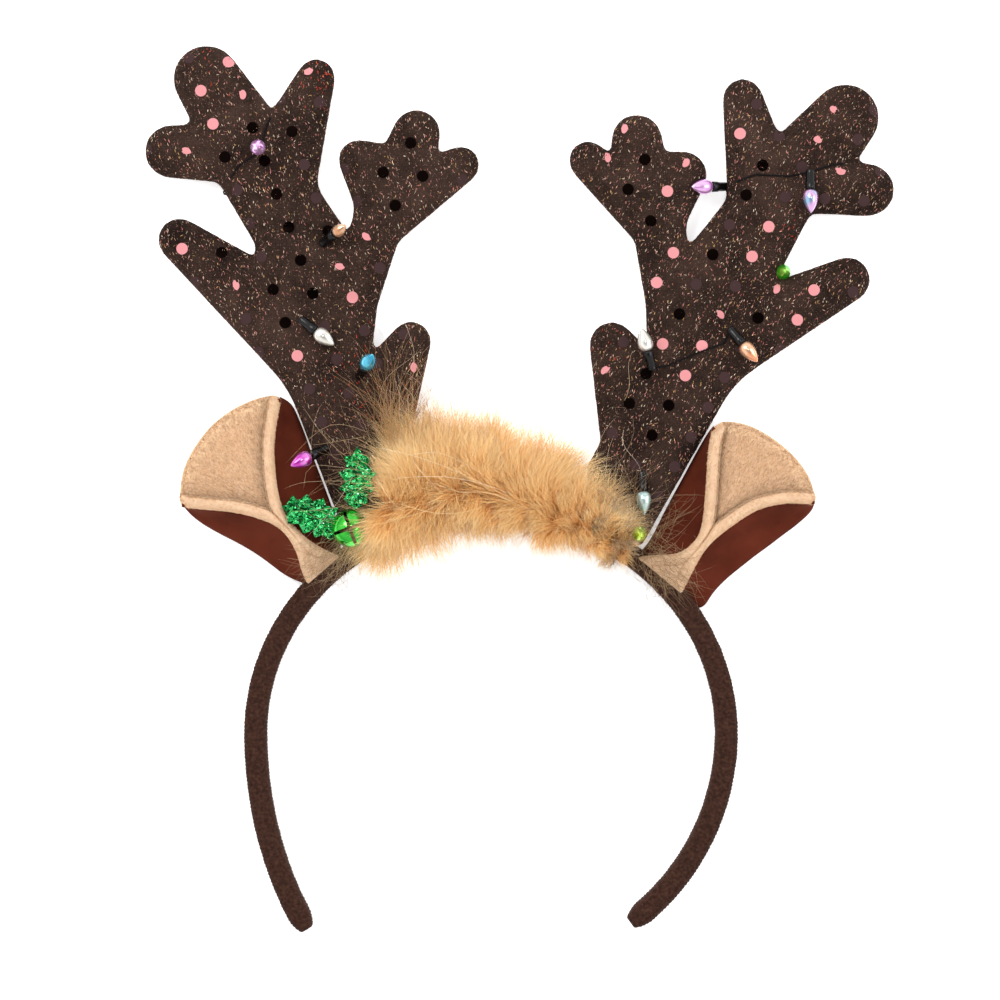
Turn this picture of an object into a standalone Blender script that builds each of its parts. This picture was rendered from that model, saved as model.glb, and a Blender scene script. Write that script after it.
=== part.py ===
"""Reindeer antler headband, lying on its back.

A fabric-wrapped band carries two padded antlers, two folded ears, a fur trim, two holly leaves, a
jingle bell and a string of small lights wound round the antlers.

Frame: the origin is the middle of the band's crown, on the back plane that the headband rests on.
+Y runs up to the antlers' tips and +Z comes out of the front. +X is the right side as seen from
the front, and every left and right in a name is meant that way too.
"""

import math

import bmesh
import bpy
from mathutils import Matrix, Vector

MM = 0.001
GAP = 0.3 * MM

# The band's centreline is four quarter ellipses that meet at the crown and at the widest points.
BAND_SPREAD = 66.0 * MM
BAND_RISE = 62.0 * MM
BAND_LEFT_DROP = 88.0 * MM
BAND_RIGHT_DROP = 66.0 * MM
BAND_LEFT_END = math.radians(218.5)
BAND_RIGHT_END = math.radians(-53.5)
BAND_WIDTH = 6.5 * MM
BAND_DEPTH = 8.5 * MM
BAND_CORNER = 1.4 * MM
BAND_STATIONS = 49
BAND_END_SCALES = (0.55, 0.85)

ANTLER_THICKNESS = 6.0 * MM
ANTLER_BACK = 1.6 * MM
ANTLER_EDGE = 1.9 * MM
ANTLER_FRONT = ANTLER_BACK + ANTLER_THICKNESS
OUTLINE_STEP = 2.4 * MM

EAR_CLOTH = 1.2 * MM
EAR_MARGINS = (0.0, 3.0 * MM, 4.0 * MM, 4.6 * MM)
EAR_PLACES = (0.0, 0.6, 1.2, 1.9, 2.6, 3.3, 4.0, 4.7, 5.3, 5.6, 6.0, 6.3, 6.45, 6.6, 7.0)
EAR_COLUMNS = 10
EAR_BACK_ROWS = (2, -5)
EAR_ROOT_GAP = 0.8 * MM
EAR_SHEET_GAP = 0.5 * MM

CORD_WIDTH = 1.0 * MM
CORD_CLEAR = CORD_WIDTH / 2 + GAP
SOCKET_LENGTH = 5.5 * MM
SOCKET_RADIUS = 1.5 * MM
BULB_RADIUS = 2.15 * MM
BULB_LENGTH = 6.5 * MM
ROUND_SIDES = 10

BELL_RADIUS = 5.4 * MM
BELL_WALL = 0.6 * MM
BELL_SEAT = (-38.9 * MM, -4.4 * MM, 13.3 * MM)
BELL_SLIT_WIDTH = 1.1 * MM
BELL_SLIT_LENGTH = 9.7 * MM
BELL_SLIT_FLOOR = 1.2 * MM
BELL_SLIT_TURNS = (math.radians(20), math.radians(110))

LEAF_THICKNESS = 0.7 * MM
LEAF_SPIKES = 4
LEAF_BAY = 0.66
# Columns: name, tip x y z, root x y z, length, width (mm)
LEAVES = (
    ("holly_leaf_1", -58.0, 1.8, 16.0, -45.0, -5.0, 12.2, 16.5, 9.0),
    ("holly_leaf_2", -36.6, 17.8, 9.7, -38.6, 2.2, 9.6, 15.7, 8.4),
)

# Antler outlines: a belt pulled clockwise round pegs. A positive radius rounds a tip, a negative one
# rounds an inner corner, and 0 is a sharp point.
# Columns: name, x_mm, y_mm, radius_mm
LEFT_ANTLER = (
    ("outer_bend", -86.8, 16.2, -35.0),
    ("low_tine", -87.4, 76.4, 5.6),
    ("low_crotch", -65.5, 70.6, 0.0),
    ("beam_nick", -65.8, 75.3, 0.0),
    ("side_corner", -77.8, 90.4, -2.6),
    ("side_lobe", -89.7, 101.1, 7.0),
    ("side_crotch", -82.9, 108.1, 0.0),
    ("top_lobe", -79.8, 121.5, 8.9),
    ("top_crotch", -61.3, 112.0, 0.0),
    ("high_tine", -49.0, 121.8, 4.9),
    ("beam_inside", -41.4, 93.0, -7.6),
    ("fork", -39.6, 76.7, 0.0),
    ("neck", -45.1, 85.1, -7.0),
    ("cluster_a", -37.2, 98.8, 5.2),
    ("crotch_ab", -29.4, 102.8, 0.0),
    ("cluster_b", -20.9, 106.1, 6.3),
    ("crotch_bc", -15.8, 99.7, 0.0),
    ("cluster_c", -8.4, 97.4, 4.8),
    ("cluster_root", -24.1, 74.5, -2.6),
    ("beam_side", -32.2, 58.0, 0.0),
    ("brow_crotch", -34.0, 43.1, 0.0),
    ("brow_tine", -22.4, 47.9, 5.2),
    ("burr_notch", -23.2, 20.2, 0.0),
    ("burr", -21.5, 11.8, 1.0),
)
RIGHT_ANTLER = (
    ("burr", 28.0, 11.8, 1.0),
    ("burr_notch", 31.1, 19.6, 0.0),
    ("brow_tine", 33.9, 47.0, 5.9),
    ("brow_crotch", 44.2, 44.8, 0.0),
    ("beam_side", 43.8, 58.0, 0.0),
    ("cluster_root", 40.6, 76.2, 0.0),
    ("cluster_c", 27.2, 98.6, 5.0),
    ("crotch_bc", 34.0, 99.7, 0.0),
    ("cluster_b", 40.9, 104.4, 6.7),
    ("crotch_ab", 48.4, 100.5, 0.0),
    ("cluster_a", 53.8, 94.4, 6.4),
    ("neck", 62.2, 79.5, -7.8),
    ("fork", 54.7, 72.8, 0.0),
    ("beam_inside", 61.0, 89.6, -5.6),
    ("high_tine", 70.6, 115.9, 5.2),
    ("top_crotch", 80.5, 105.0, 0.0),
    ("top_lobe", 99.4, 110.6, 9.0),
    ("side_crotch", 101.6, 97.7, 0.0),
    ("side_lobe", 105.8, 90.3, 6.9),
    ("side_corner", 90.7, 81.8, -2.2),
    ("low_crotch", 79.0, 64.0, 0.0),
    ("low_tine", 100.0, 65.2, 5.9),
    ("outer_bend", 90.6, 15.6, -30.0),
)
# The foot of each antler follows the band from one side to the other, as angles on the band.
LEFT_FOOT = (math.radians(112.5), math.radians(125.0))
RIGHT_FOOT = (math.radians(53.0), math.radians(64.5))

# Ears: the stretch of the band that each is sewn to, as angles on the band, and the outermost point
# of its tip.
EAR_ROOTS = {
    "left": (math.radians(128.5), math.radians(140.0)),
    "right": (math.radians(47.0), math.radians(35.0)),
}
EAR_TIPS = {"left": (-78.4, 23.2), "right": (81.5, 19.6)}
# One row for each station from the band to the open tip, with the edge of the front flap and its
# fold on the two sides, and the heights of the back, of the folds and of the flap edges.
# Columns: edge_a x y, fold_a x y, fold_b x y, edge_b x y, back_z, fold_z, edge_z (mm)
LEFT_EAR = (
    (-54.6, -4.6, -45.4, 2.4, -59.4, -16.2, -55.0, -8.0, 3.0, 6.5, 11.4),
    (-58.2, 1.9, -48.8, 12.5, -68.6, -10.1, -61.6, -3.0, 2.6, 7.4, 13.0),
    (-60.2, 8.9, -50.8, 17.8, -75.3, -6.4, -66.9, -1.0, 2.2, 7.8, 12.8),
    (-60.5, 17.4, -53.4, 25.4, -80.1, -3.6, -73.9, 0.0, 2.0, 8.2, 12.8),
    (-59.6, 25.8, -55.5, 30.1, -84.3, -1.4, -79.5, 0.8, 2.2, 8.8, 12.0),
    (-58.9, 31.4, -58.2, 32.2, -86.0, 1.0, -85.6, 0.9, 3.0, 9.4, 9.8),
    (-62.0, 32.8, -69.0, 29.6, -86.6, 7.6, -86.9, 3.6, 9.0, 9.8, 10.0),
)
RIGHT_EAR = (
    (52.4, -10.5, 47.4, -3.5, 62.0, -23.1, 57.6, -15.2, 3.0, 6.5, 11.4),
    (57.8, -7.0, 50.8, 3.0, 65.8, -19.3, 60.0, -9.8, 2.6, 7.4, 13.0),
    (59.4, 2.0, 55.2, 12.0, 73.1, -11.8, 65.2, -5.3, 2.2, 7.8, 12.8),
    (59.9, 10.1, 58.0, 17.4, 79.5, -7.0, 72.5, 0.0, 2.0, 8.2, 12.8),
    (60.6, 16.8, 60.2, 21.3, 85.7, -2.5, 81.2, 2.5, 2.2, 8.8, 12.0),
    (62.2, 23.0, 61.6, 23.5, 91.0, 2.5, 90.2, 2.2, 3.0, 9.4, 9.8),
    (63.4, 24.9, 70.0, 25.3, 89.6, 10.4, 91.0, 4.6, 9.0, 9.8, 10.0),
)

# Fur trim: sections across the band, from the left end to the right.
# Columns: x, top_y, bottom_y, back_z, front_z (mm)
FUR = (
    (-30.5, 13.0, -7.0, 10.2, 15.5),
    (-27.5, 22.0, -10.0, 9.4, 18.5),
    (-20.0, 26.0, -8.5, 9.4, 20.5),
    (-15.5, 26.0, -6.5, 0.0, 21.0),
    (-9.0, 23.0, -4.5, 0.0, 21.0),
    (-2.0, 20.5, -4.5, 0.0, 20.5),
    (5.0, 20.0, -5.0, 0.0, 20.5),
    (12.0, 18.0, -5.0, 0.0, 20.0),
    (21.0, 12.5, -5.5, 0.0, 19.5),
    (25.5, 9.5, -6.5, 9.4, 18.5),
    (32.0, 4.0, -9.0, 9.4, 17.0),
    (36.5, -1.5, -10.5, 9.6, 14.0),
)
FUR_FLOOR = 9.4 * MM
FUR_STATIONS = 16
# Locks stand on the front and lower sides, and on the upper side between the antlers too.
FRONT_LOCK_FACES = 6
MIDDLE_LOCK_FACES = 7
MIDDLE_HALF_WIDTH = 14.0 * MM
LOCK_LENGTH = 6.0 * MM
LOCK_SWEEP = 2.2 * MM
# Columns: share of the lock's length, width against the step before, share of the sweep
LOCK_STEPS = ((0.45, 0.72, 0.3), (0.55, 0.2, 0.7))

# Lights: the socket's rear end and the way that the bulb points.
# Columns: name, x_mm, y_mm, z_mm, direction x, y, z
LIGHTS = (
    ("left_1", -65.2, 102.2, 9.2, 0.05, 0.00, 1.00),
    ("left_2", -46.6, 76.4, 10.1, 0.62, 0.42, 0.55),
    ("left_3", -53.2, 53.9, 9.7, 0.78, -0.61, 0.12),
    ("left_4", -36.4, 39.4, 9.7, 0.35, 0.45, 0.82),
    ("left_5", -45.6, 18.0, 9.7, -0.79, -0.42, 0.42),
    ("right_6", 68.0, 91.4, 9.5, -0.80, -0.05, 0.45),
    ("right_7", 89.0, 95.4, 9.7, 0.00, -1.00, 0.12),
    ("right_8", 83.6, 68.6, 2.0, 0.04, 0.04, 1.00),
    ("right_9", 45.1, 39.5, 9.7, -0.27, 0.955, 0.12),
    ("right_10", 66.4, 51.2, 9.7, 0.637, -0.77, 0.12),
    ("right_11", 42.2, 11.4, 9.7, 0.04, -1.00, 0.12),
    ("right_12", 41.0, -5.4, 8.0, 0.00, -0.08, 1.00),
)
BULB_COLOURS = {
    "left_1": (0.62, 0.28, 0.62),
    "left_2": (0.70, 0.38, 0.20),
    "left_3": (0.80, 0.80, 0.76),
    "left_4": (0.06, 0.45, 0.62),
    "left_5": (0.60, 0.06, 0.45),
    "right_6": (0.62, 0.28, 0.62),
    "right_7": (0.35, 0.55, 0.72),
    "right_8": (0.10, 0.60, 0.05),
    "right_9": (0.80, 0.82, 0.82),
    "right_10": (0.80, 0.38, 0.20),
    "right_11": (0.55, 0.72, 0.72),
    "right_12": (0.45, 0.65, 0.08),
}
# Turned profile of a bulb, from its tip to the middle of its base.
# Columns: share of the radius, share of the length
BULB_PROFILE = (
    (0.0, 1.0),
    (0.2, 0.93),
    (0.62, 0.7),
    (0.92, 0.48),
    (1.0, 0.32),
    (0.88, 0.12),
    (0.55, 0.0),
    (0.0, 0.0),
)

# Routes of the light string over the front and the back of the antlers. An edge row goes round the
# antler's side there, and a row with a light's name passes just behind that light's socket.
# Columns: place, x_mm, y_mm, the way out of the edge in degrees
LEFT_STRING = (
    ("front", -36.5, 3.0, 0),
    ("front", -41.0, 12.0, 0),
    ("left_5", 0, 0, 0),
    ("front", -42.0, 26.0, 0),
    ("left_4", 0, 0, 0),
    ("front", -42.0, 40.5, 0),
    ("front", -50.0, 39.5, 0),
    ("edge", -59.2, 38.4, 205),
    ("back", -45.0, 50.0, 0),
    ("edge", -32.0, 58.5, 0),
    ("front", -46.0, 60.0, 0),
    ("front", -51.5, 58.0, 0),
    ("left_3", 0, 0, 0),
    ("front", -57.0, 60.0, 0),
    ("front", -51.5, 70.0, 0),
    ("left_2", 0, 0, 0),
    ("front", -53.0, 79.0, 0),
    ("edge", -67.6, 79.5, 205),
    ("back", -67.0, 86.0, 0),
    ("edge", -74.4, 89.8, 235),
    ("front", -70.5, 97.0, 0),
    ("left_1", 0, 0, 0),
    ("front", -63.0, 107.0, 0),
    ("edge", -61.1, 113.0, 85),
    ("back", -62.5, 104.0, 0),
)
RIGHT_STRING = (
    ("front", 37.5, 1.0, 0),
    ("front", 38.0, 9.0, 0),
    ("front", 39.5, 13.0, 0),
    ("right_11", 0, 0, 0),
    ("front", 45.0, 16.0, 0),
    ("front", 45.0, 32.0, 0),
    ("front", 44.5, 36.5, 0),
    ("right_9", 0, 0, 0),
    ("front", 49.0, 38.5, 0),
    ("front", 51.5, 42.5, 0),
    ("front", 58.0, 48.0, 0),
    ("right_10", 0, 0, 0),
    ("front", 69.0, 57.0, 0),
    ("edge", 79.9, 64.4, 40),
    ("back", 73.0, 75.0, 0),
    ("edge", 64.4, 86.2, 145),
    ("right_6", 0, 0, 0),
    ("front", 74.0, 94.4, 0),
    ("front", 83.0, 93.9, 0),
    ("right_7", 0, 0, 0),
    ("front", 95.0, 97.0, 0),
    ("edge", 102.6, 98.0, 10),
    ("back", 94.0, 103.0, 0),
)
STRING_FRONT_Z = ANTLER_FRONT + CORD_CLEAR + 0.1 * MM
STRING_BACK_Z = ANTLER_BACK - CORD_CLEAR


def clear_scene():
    for obj in list(bpy.data.objects):
        bpy.data.objects.remove(obj, do_unlink=True)


def new_collection(name, helper=False):
    collection = bpy.data.collections.new(name)
    bpy.context.scene.collection.children.link(collection)
    collection.hide_render = helper
    return collection


def material(name, colour, roughness, metallic=0.0):
    made = bpy.data.materials.new(name)
    made.use_nodes = True
    shader = made.node_tree.nodes["Principled BSDF"]
    shader.inputs["Base Color"].default_value = (*colour, 1.0)
    shader.inputs["Roughness"].default_value = roughness
    shader.inputs["Metallic"].default_value = metallic
    made.diffuse_color = (*colour, 1.0)
    return made


def link(name, data, finish, collection):
    obj = bpy.data.objects.new(name, data)
    if finish:
        data.materials.append(finish)
    collection.objects.link(obj)
    return obj


def mesh_from(bm, name):
    bmesh.ops.recalc_face_normals(bm, faces=bm.faces)
    mesh = bpy.data.meshes.new(name)
    bm.to_mesh(mesh)
    bm.free()
    mesh.shade_smooth()
    mesh.set_sharp_from_angle(angle=math.radians(40))
    return mesh


def mesh_of_curve(obj):
    """Turns a curve object into a mesh object of the same name, with its caps welded on."""
    bpy.context.view_layer.update()
    graph = bpy.context.evaluated_depsgraph_get()
    mesh = bpy.data.meshes.new_from_object(obj.evaluated_get(graph))
    bm = bmesh.new()
    bm.from_mesh(mesh)
    bmesh.ops.remove_doubles(bm, verts=bm.verts, dist=0.01 * MM)
    bmesh.ops.recalc_face_normals(bm, faces=bm.faces)
    bm.to_mesh(mesh)
    bm.free()
    name, collection, place = obj.name, obj.users_collection[0], obj.matrix_world.copy()
    bpy.data.objects.remove(obj, do_unlink=True)
    made = bpy.data.objects.new(name, mesh)
    made.matrix_world = place
    collection.objects.link(made)


def poly_curve(name, points, dimensions="3D", cyclic=False):
    curve = bpy.data.curves.new(name, "CURVE")
    curve.dimensions = dimensions
    spline = curve.splines.new("POLY")
    spline.points.add(len(points) - 1)
    for control, point in zip(spline.points, points):
        control.co = (*Vector(point).to_3d(), 1.0)
    spline.use_cyclic_u = cyclic
    return curve


def smooth_point(points, place):
    """The point at `place`, counted in rows, on the smooth curve through `points`."""
    last = len(points) - 1
    i = min(int(place), last - 1)
    t = place - i
    p = [points[max(0, min(last, i + k))] for k in (-1, 0, 1, 2)]
    return 0.5 * (
        2 * p[1]
        + (p[2] - p[0]) * t
        + (2 * p[0] - 5 * p[1] + 4 * p[2] - p[3]) * t * t
        + (3 * p[1] - p[0] - 3 * p[2] + p[3]) * t**3
    )


def band_point(angle, offset=0.0):
    """A point `offset` outside the band's centreline; pi/2 is the crown."""
    if math.sin(angle) > 0:
        drop = BAND_RISE
    else:
        drop = BAND_LEFT_DROP if math.cos(angle) < 0 else BAND_RIGHT_DROP
    outward = Vector((drop * math.cos(angle), BAND_SPREAD * math.sin(angle))).normalized()
    middle = Vector((BAND_SPREAD * math.cos(angle), drop * math.sin(angle) - BAND_RISE))
    return middle + outward * offset


def rounded_rectangle(width, height, radius, steps=3):
    points = []
    corners = ((1, -1, -90), (1, 1, 0), (-1, 1, 90), (-1, -1, 180))
    for side_x, side_y, start in corners:
        for step in range(steps):
            angle = math.radians(start + 90 * step / (steps - 1))
            points.append(
                (
                    side_x * (width / 2 - radius) + radius * math.cos(angle),
                    side_y * (height / 2 - radius) + radius * math.sin(angle),
                )
            )
    return points


def build_headband(finish, parts, helpers):
    profile = poly_curve(
        "band_profile",
        rounded_rectangle(BAND_WIDTH, BAND_DEPTH, BAND_CORNER),
        "2D",
        cyclic=True,
    )
    guide = link("band_profile", profile, None, helpers)
    guide.hide_render = True
    guide.display_type = "WIRE"
    span = BAND_LEFT_END - BAND_RIGHT_END
    points = [
        band_point(BAND_RIGHT_END + span * i / (BAND_STATIONS - 1))
        for i in range(BAND_STATIONS)
    ]
    curve = poly_curve("headband", points, "2D")
    controls = curve.splines[0].points
    for i, scale in enumerate(BAND_END_SCALES):
        controls[i].radius = scale
        controls[-1 - i].radius = scale
    curve.bevel_mode = "OBJECT"
    curve.bevel_object = guide
    curve.use_fill_caps = True
    band = link("headband", curve, finish, parts)
    band.location.z = BAND_DEPTH / 2
    mesh_of_curve(band)


def belt(rows):
    """The outline that a belt takes clockwise round pegs of signed radius."""
    pegs = [Vector((x, y)) * MM for _, x, y, _ in rows]
    radii = [radius * MM for *_, radius in rows]
    normals = []
    for i, peg in enumerate(pegs):
        j = (i + 1) % len(pegs)
        run = pegs[j] - peg
        lean = (radii[i] - radii[j]) / run.length
        along = run.normalized()
        outward = Vector((-along.y, along.x))
        normals.append(along * lean + outward * math.sqrt(1 - lean * lean))
    outline = []
    for i, peg in enumerate(pegs):
        if radii[i] == 0:
            outline.append(peg)
            continue
        start = math.atan2(normals[i - 1].y, normals[i - 1].x)
        end = math.atan2(normals[i].y, normals[i].x)
        if radii[i] > 0:
            turn = -((start - end) % math.tau)
        else:
            turn = (end - start) % math.tau
        steps = max(1, math.ceil(abs(turn * radii[i]) / OUTLINE_STEP))
        for k in range(steps + 1):
            angle = start + turn * k / steps
            outline.append(peg + radii[i] * Vector((math.cos(angle), math.sin(angle))))
    return outline


def foot_rows(foot, steps=4):
    """Belt rows along the top of the band, clockwise, so that an antler stands on it."""
    clear = BAND_WIDTH / 2 + GAP
    rows = []
    for k in range(steps + 1):
        point = band_point(foot[0] + (foot[1] - foot[0]) * k / steps, clear)
        rows.append(("foot", point.x / MM, point.y / MM, 0.0))
    return tuple(rows)


def build_antler(name, rows, foot, finish, parts):
    """A padded flat shape: the outline extruded, with its edge rolled all round."""
    outline = belt(rows + foot_rows(foot))
    curve = poly_curve(name, outline, "2D", cyclic=True)
    curve.fill_mode = "BOTH"
    curve.extrude = ANTLER_THICKNESS / 2 - ANTLER_EDGE
    curve.bevel_depth = ANTLER_EDGE
    curve.bevel_resolution = 1
    curve.offset = -ANTLER_EDGE
    pad = link(name, curve, finish, parts)
    pad.location.z = ANTLER_BACK + ANTLER_THICKNESS / 2
    mesh_of_curve(pad)


def ear_columns(side, rows):
    """Five points across the ear at each station: edge, fold, back, fold, edge."""
    start, end = EAR_ROOTS[side]
    root = []
    for share, height in ((0.12, 7.4), (0.0, 5.2), (0.5, 3.2), (1.0, 5.2), (0.88, 7.4)):
        point = band_point(start + (end - start) * share, BAND_WIDTH / 2 + EAR_ROOT_GAP)
        root.append(Vector((*point, height * MM)))
    stations = [root]
    for index, row in enumerate(rows):
        ax, ay, fax, fay, fbx, fby, bx, by, back_z, fold_z, edge_z = row
        fold_a, fold_b = Vector((fax, fay, fold_z)), Vector((fbx, fby, fold_z))
        middle = (fold_a + fold_b) / 2
        if index == len(rows) - 1:
            middle = Vector((*EAR_TIPS[side], 0.0))
        middle.z = back_z
        edges = Vector((ax, ay, edge_z)), Vector((bx, by, edge_z))
        stations.append([p * MM for p in (edges[0], fold_a, middle, fold_b, edges[1])])
    return list(zip(*stations))


def at_length(points, length):
    """The point at a given length along a polyline."""
    for a, b in zip(points, points[1:]):
        step = (b - a).length
        if length <= step:
            return a.lerp(b, length / step)
        length -= step
    return points[-1].copy()


def ear_grid(columns):
    """Points across and along the ear: the rolled margins at its edges, and even steps between."""
    grid = []
    for place in EAR_PLACES:
        section = [smooth_point(column, place) for column in columns]
        fine = [smooth_point(section, k / 8) for k in range(33)]
        total = sum((b - a).length for a, b in zip(fine, fine[1:]))
        inner = EAR_MARGINS[-1]
        step = (total - 2 * inner) / (EAR_COLUMNS - 1)
        lengths = list(EAR_MARGINS[:-1])
        lengths += [inner + step * k for k in range(EAR_COLUMNS)]
        lengths += [total - margin for margin in reversed(EAR_MARGINS[:-1])]
        grid.append([at_length(fine, length) for length in lengths])
    return grid


def grid_normals(grid):
    """Normals of the sheet through the grid, pointing out of the back of the ear."""
    bm = bmesh.new()
    bmesh.ops.create_grid(
        bm, x_segments=len(grid[0]) - 1, y_segments=len(grid) - 1, size=1.0
    )
    bm.verts.ensure_lookup_table()
    for vertex, point in zip(bm.verts, (point for row in grid for point in row)):
        vertex.co = point
    bm.normal_update()
    flat = [vertex.normal.copy() for vertex in bm.verts]
    bm.free()
    width = len(grid[0])
    facing = -1.0 if flat[len(grid) // 2 * width + width // 2].z > 0 else 1.0
    return [[n * facing for n in flat[i : i + width]] for i in range(0, len(flat), width)]


def cloth_solid(name, grid, normals, depths, finish, parts):
    """A closed sheet between two depths under the grid: nested sheets share its normals."""
    bm = bmesh.new()
    skins = []
    for extra in (0.0, EAR_CLOTH):
        skins.append(
            [
                [bm.verts.new(p - n * (depth + extra)) for p, n, depth in zip(*lines)]
                for lines in zip(grid, normals, depths)
            ]
        )
    last_row, last = len(grid) - 1, len(grid[0]) - 1
    for skin in skins:
        for i in range(last_row):
            for k in range(last):
                bm.faces.new(
                    (skin[i][k], skin[i][k + 1], skin[i + 1][k + 1], skin[i + 1][k])
                )
    border = [(0, k) for k in range(last)] + [(i, last) for i in range(last_row)]
    border += [(last_row, k) for k in range(last, 0, -1)]
    border += [(i, 0) for i in range(last_row, 0, -1)]
    outer, inner = skins
    for (i, k), (m, n) in zip(border, border[1:] + border[:1]):
        bm.faces.new((outer[i][k], outer[m][n], inner[m][n], inner[i][k]))
    return link(name, mesh_from(bm, name), finish, parts)


def build_ear(side, rows, lining, back, parts):
    """A backing sheet, and inside it a lining whose edge rolls out over the backing's edge."""
    grid = ear_grid(ear_columns(side, rows))
    normals = grid_normals(grid)
    inset = len(EAR_MARGINS) - 1
    depths = []
    for index in range(len(grid)):
        under = EAR_CLOTH + EAR_SHEET_GAP if index < len(grid) - 2 else 0.0
        depths.append([0.0, 0.0] + [under] * (len(grid[0]) - 4) + [0.0, 0.0])
    cloth_solid(f"ear_{side}_lining", grid, normals, depths, lining, parts)
    rows_kept = slice(EAR_BACK_ROWS[0], EAR_BACK_ROWS[1])
    inner = [row[inset:-inset] for row in grid[rows_kept]]
    inner_normals = [row[inset:-inset] for row in normals[rows_kept]]
    flush = [[0.0] * len(row) for row in inner]
    cloth_solid(f"ear_{side}_back", inner, inner_normals, flush, back, parts)


def fur_section(x, top, bottom, back_z, front_z):
    """Outline across the roll: it laps over the band's front and down behind its crown."""
    angle = math.acos(x / BAND_SPREAD)
    crown = band_point(angle, BAND_WIDTH / 2 + GAP).y + 0.4 * MM
    low = max(back_z, 0.0)
    height, spread = front_z - low, top - bottom
    middle = (front_z + FUR_FLOOR) / 2
    return (
        (bottom + 1.5 * MM, FUR_FLOOR),
        (bottom, middle),
        (bottom + 0.1 * spread, front_z - 1.8 * MM),
        (bottom + 0.35 * spread, front_z),
        (bottom + 0.65 * spread, front_z - 0.6 * MM),
        (bottom + 0.88 * spread, front_z - 3.0 * MM),
        (top, low + 0.55 * height),
        (top - 1.0 * MM, low + 0.22 * height),
        (top - 3.5 * MM, low),
        (crown + 0.35 * (top - crown), low),
        (crown, low),
        (crown, max(FUR_FLOOR, low + 0.1 * MM)),
    )


def draw_lock(bm, face, index):
    """Draws a face out into a tapered lock that sweeps to one side."""
    length = LOCK_LENGTH * (1.0 + 0.35 * math.sin(3.1 * index))
    lean = Vector((math.sin(2.4 * index), 0.7 * math.cos(1.7 * index), 0.0)) * LOCK_SWEEP
    for share, width, bend in LOCK_STEPS:
        out = face.normal * length * share + lean * bend
        face = bmesh.ops.extrude_discrete_faces(bm, faces=[face])["faces"][0]
        middle = face.calc_center_median()
        for vertex in face.verts:
            vertex.co = middle + (vertex.co - middle) * width + out
        face.normal_update()


def build_fur(finish, parts):
    """A thick roll over the band's crown, with a tapered lock drawn out of every other face."""
    bm = bmesh.new()
    rows = [Vector(row) * MM for row in FUR]
    rings = []
    for station in range(FUR_STATIONS):
        row = smooth_point(rows, (len(rows) - 1) * station / (FUR_STATIONS - 1))
        x, section = row[0], fur_section(*row)
        rings.append([bm.verts.new((x, y, z)) for y, z in section])
    count = len(rings[0])
    furry = []
    for i, (near, far) in enumerate(zip(rings, rings[1:])):
        for k in range(count):
            j = (k + 1) % count
            face = bm.faces.new((near[k], near[j], far[j], far[k]))
            middle = abs(near[0].co.x) < MIDDLE_HALF_WIDTH
            reach = MIDDLE_LOCK_FACES if middle else FRONT_LOCK_FACES
            if k < reach and (i + k) % 2 == 0 and i < FUR_STATIONS - 3:
                furry.append(face)
    bm.faces.new(rings[0])
    bm.faces.new(rings[-1])
    bmesh.ops.recalc_face_normals(bm, faces=bm.faces)
    for index, face in enumerate(furry):
        draw_lock(bm, face, index)
    link("fur_trim", mesh_from(bm, "fur_trim"), finish, parts)


def build_bell(finish, parts, helpers):
    bm = bmesh.new()
    bmesh.ops.create_uvsphere(bm, u_segments=16, v_segments=10, radius=BELL_RADIUS)
    bell = link("jingle_bell", mesh_from(bm, "jingle_bell"), finish, parts)
    bell.location = BELL_SEAT
    bm = bmesh.new()
    bmesh.ops.create_uvsphere(
        bm, u_segments=12, v_segments=8, radius=BELL_RADIUS - BELL_WALL
    )
    cutters = [link("bell_hollow", mesh_from(bm, "bell_hollow"), None, helpers)]
    for k, angle in enumerate(BELL_SLIT_TURNS):
        name = f"bell_slit_{k}"
        size = (BELL_SLIT_LENGTH, BELL_SLIT_WIDTH, BELL_RADIUS)
        bm = bmesh.new()
        bmesh.ops.create_cube(bm, size=1.0, matrix=Matrix.Diagonal((*size, 1.0)))
        turn = Matrix.Rotation(angle, 4, "Z")
        lift = Matrix.Translation((0.0, 0.0, BELL_SLIT_FLOOR + BELL_RADIUS / 2))
        bmesh.ops.transform(bm, matrix=turn @ lift, verts=bm.verts)
        cutters.append(link(name, mesh_from(bm, name), None, helpers))
    for cutter in cutters:
        cutter.location = BELL_SEAT
        cutter.hide_render = True
        cutter.display_type = "WIRE"
        cut = bell.modifiers.new(cutter.name, "BOOLEAN")
        cut.operation = "DIFFERENCE"
        cut.solver = "EXACT"
        cut.object = cutter


def leaf_outline(length, width):
    """A holly leaf along +X: a lens-shaped edge drawn out to points, with bays between them."""
    side = []
    for k in range(2 * LEAF_SPIKES + 1):
        share = k / (2 * LEAF_SPIKES)
        spike = k % 2 == 1
        reach = width / 2 * math.sin(math.pi * share) ** 0.6 * (1.0 if spike else LEAF_BAY)
        side.append(Vector((length * (share + (0.03 if spike else 0.0)), reach)))
    return side + [Vector((p.x, -p.y)) for p in reversed(side[1:-1])]


def build_leaf(row, finish, parts):
    name, *numbers = row
    tip, root = Vector(numbers[:3]) * MM, Vector(numbers[3:6]) * MM
    length, width = (number * MM for number in numbers[6:])
    curve = poly_curve(name, leaf_outline(length, width), "2D", cyclic=True)
    curve.fill_mode = "BOTH"
    curve.extrude = LEAF_THICKNESS / 2
    leaf = link(name, curve, finish, parts)
    along = (tip - root).normalized()
    across = Vector((0.0, 0.0, 1.0)).cross(along).normalized()
    frame = Matrix((along, across, along.cross(across))).transposed().to_4x4()
    leaf.matrix_world = Matrix.Translation(root) @ frame


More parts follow.
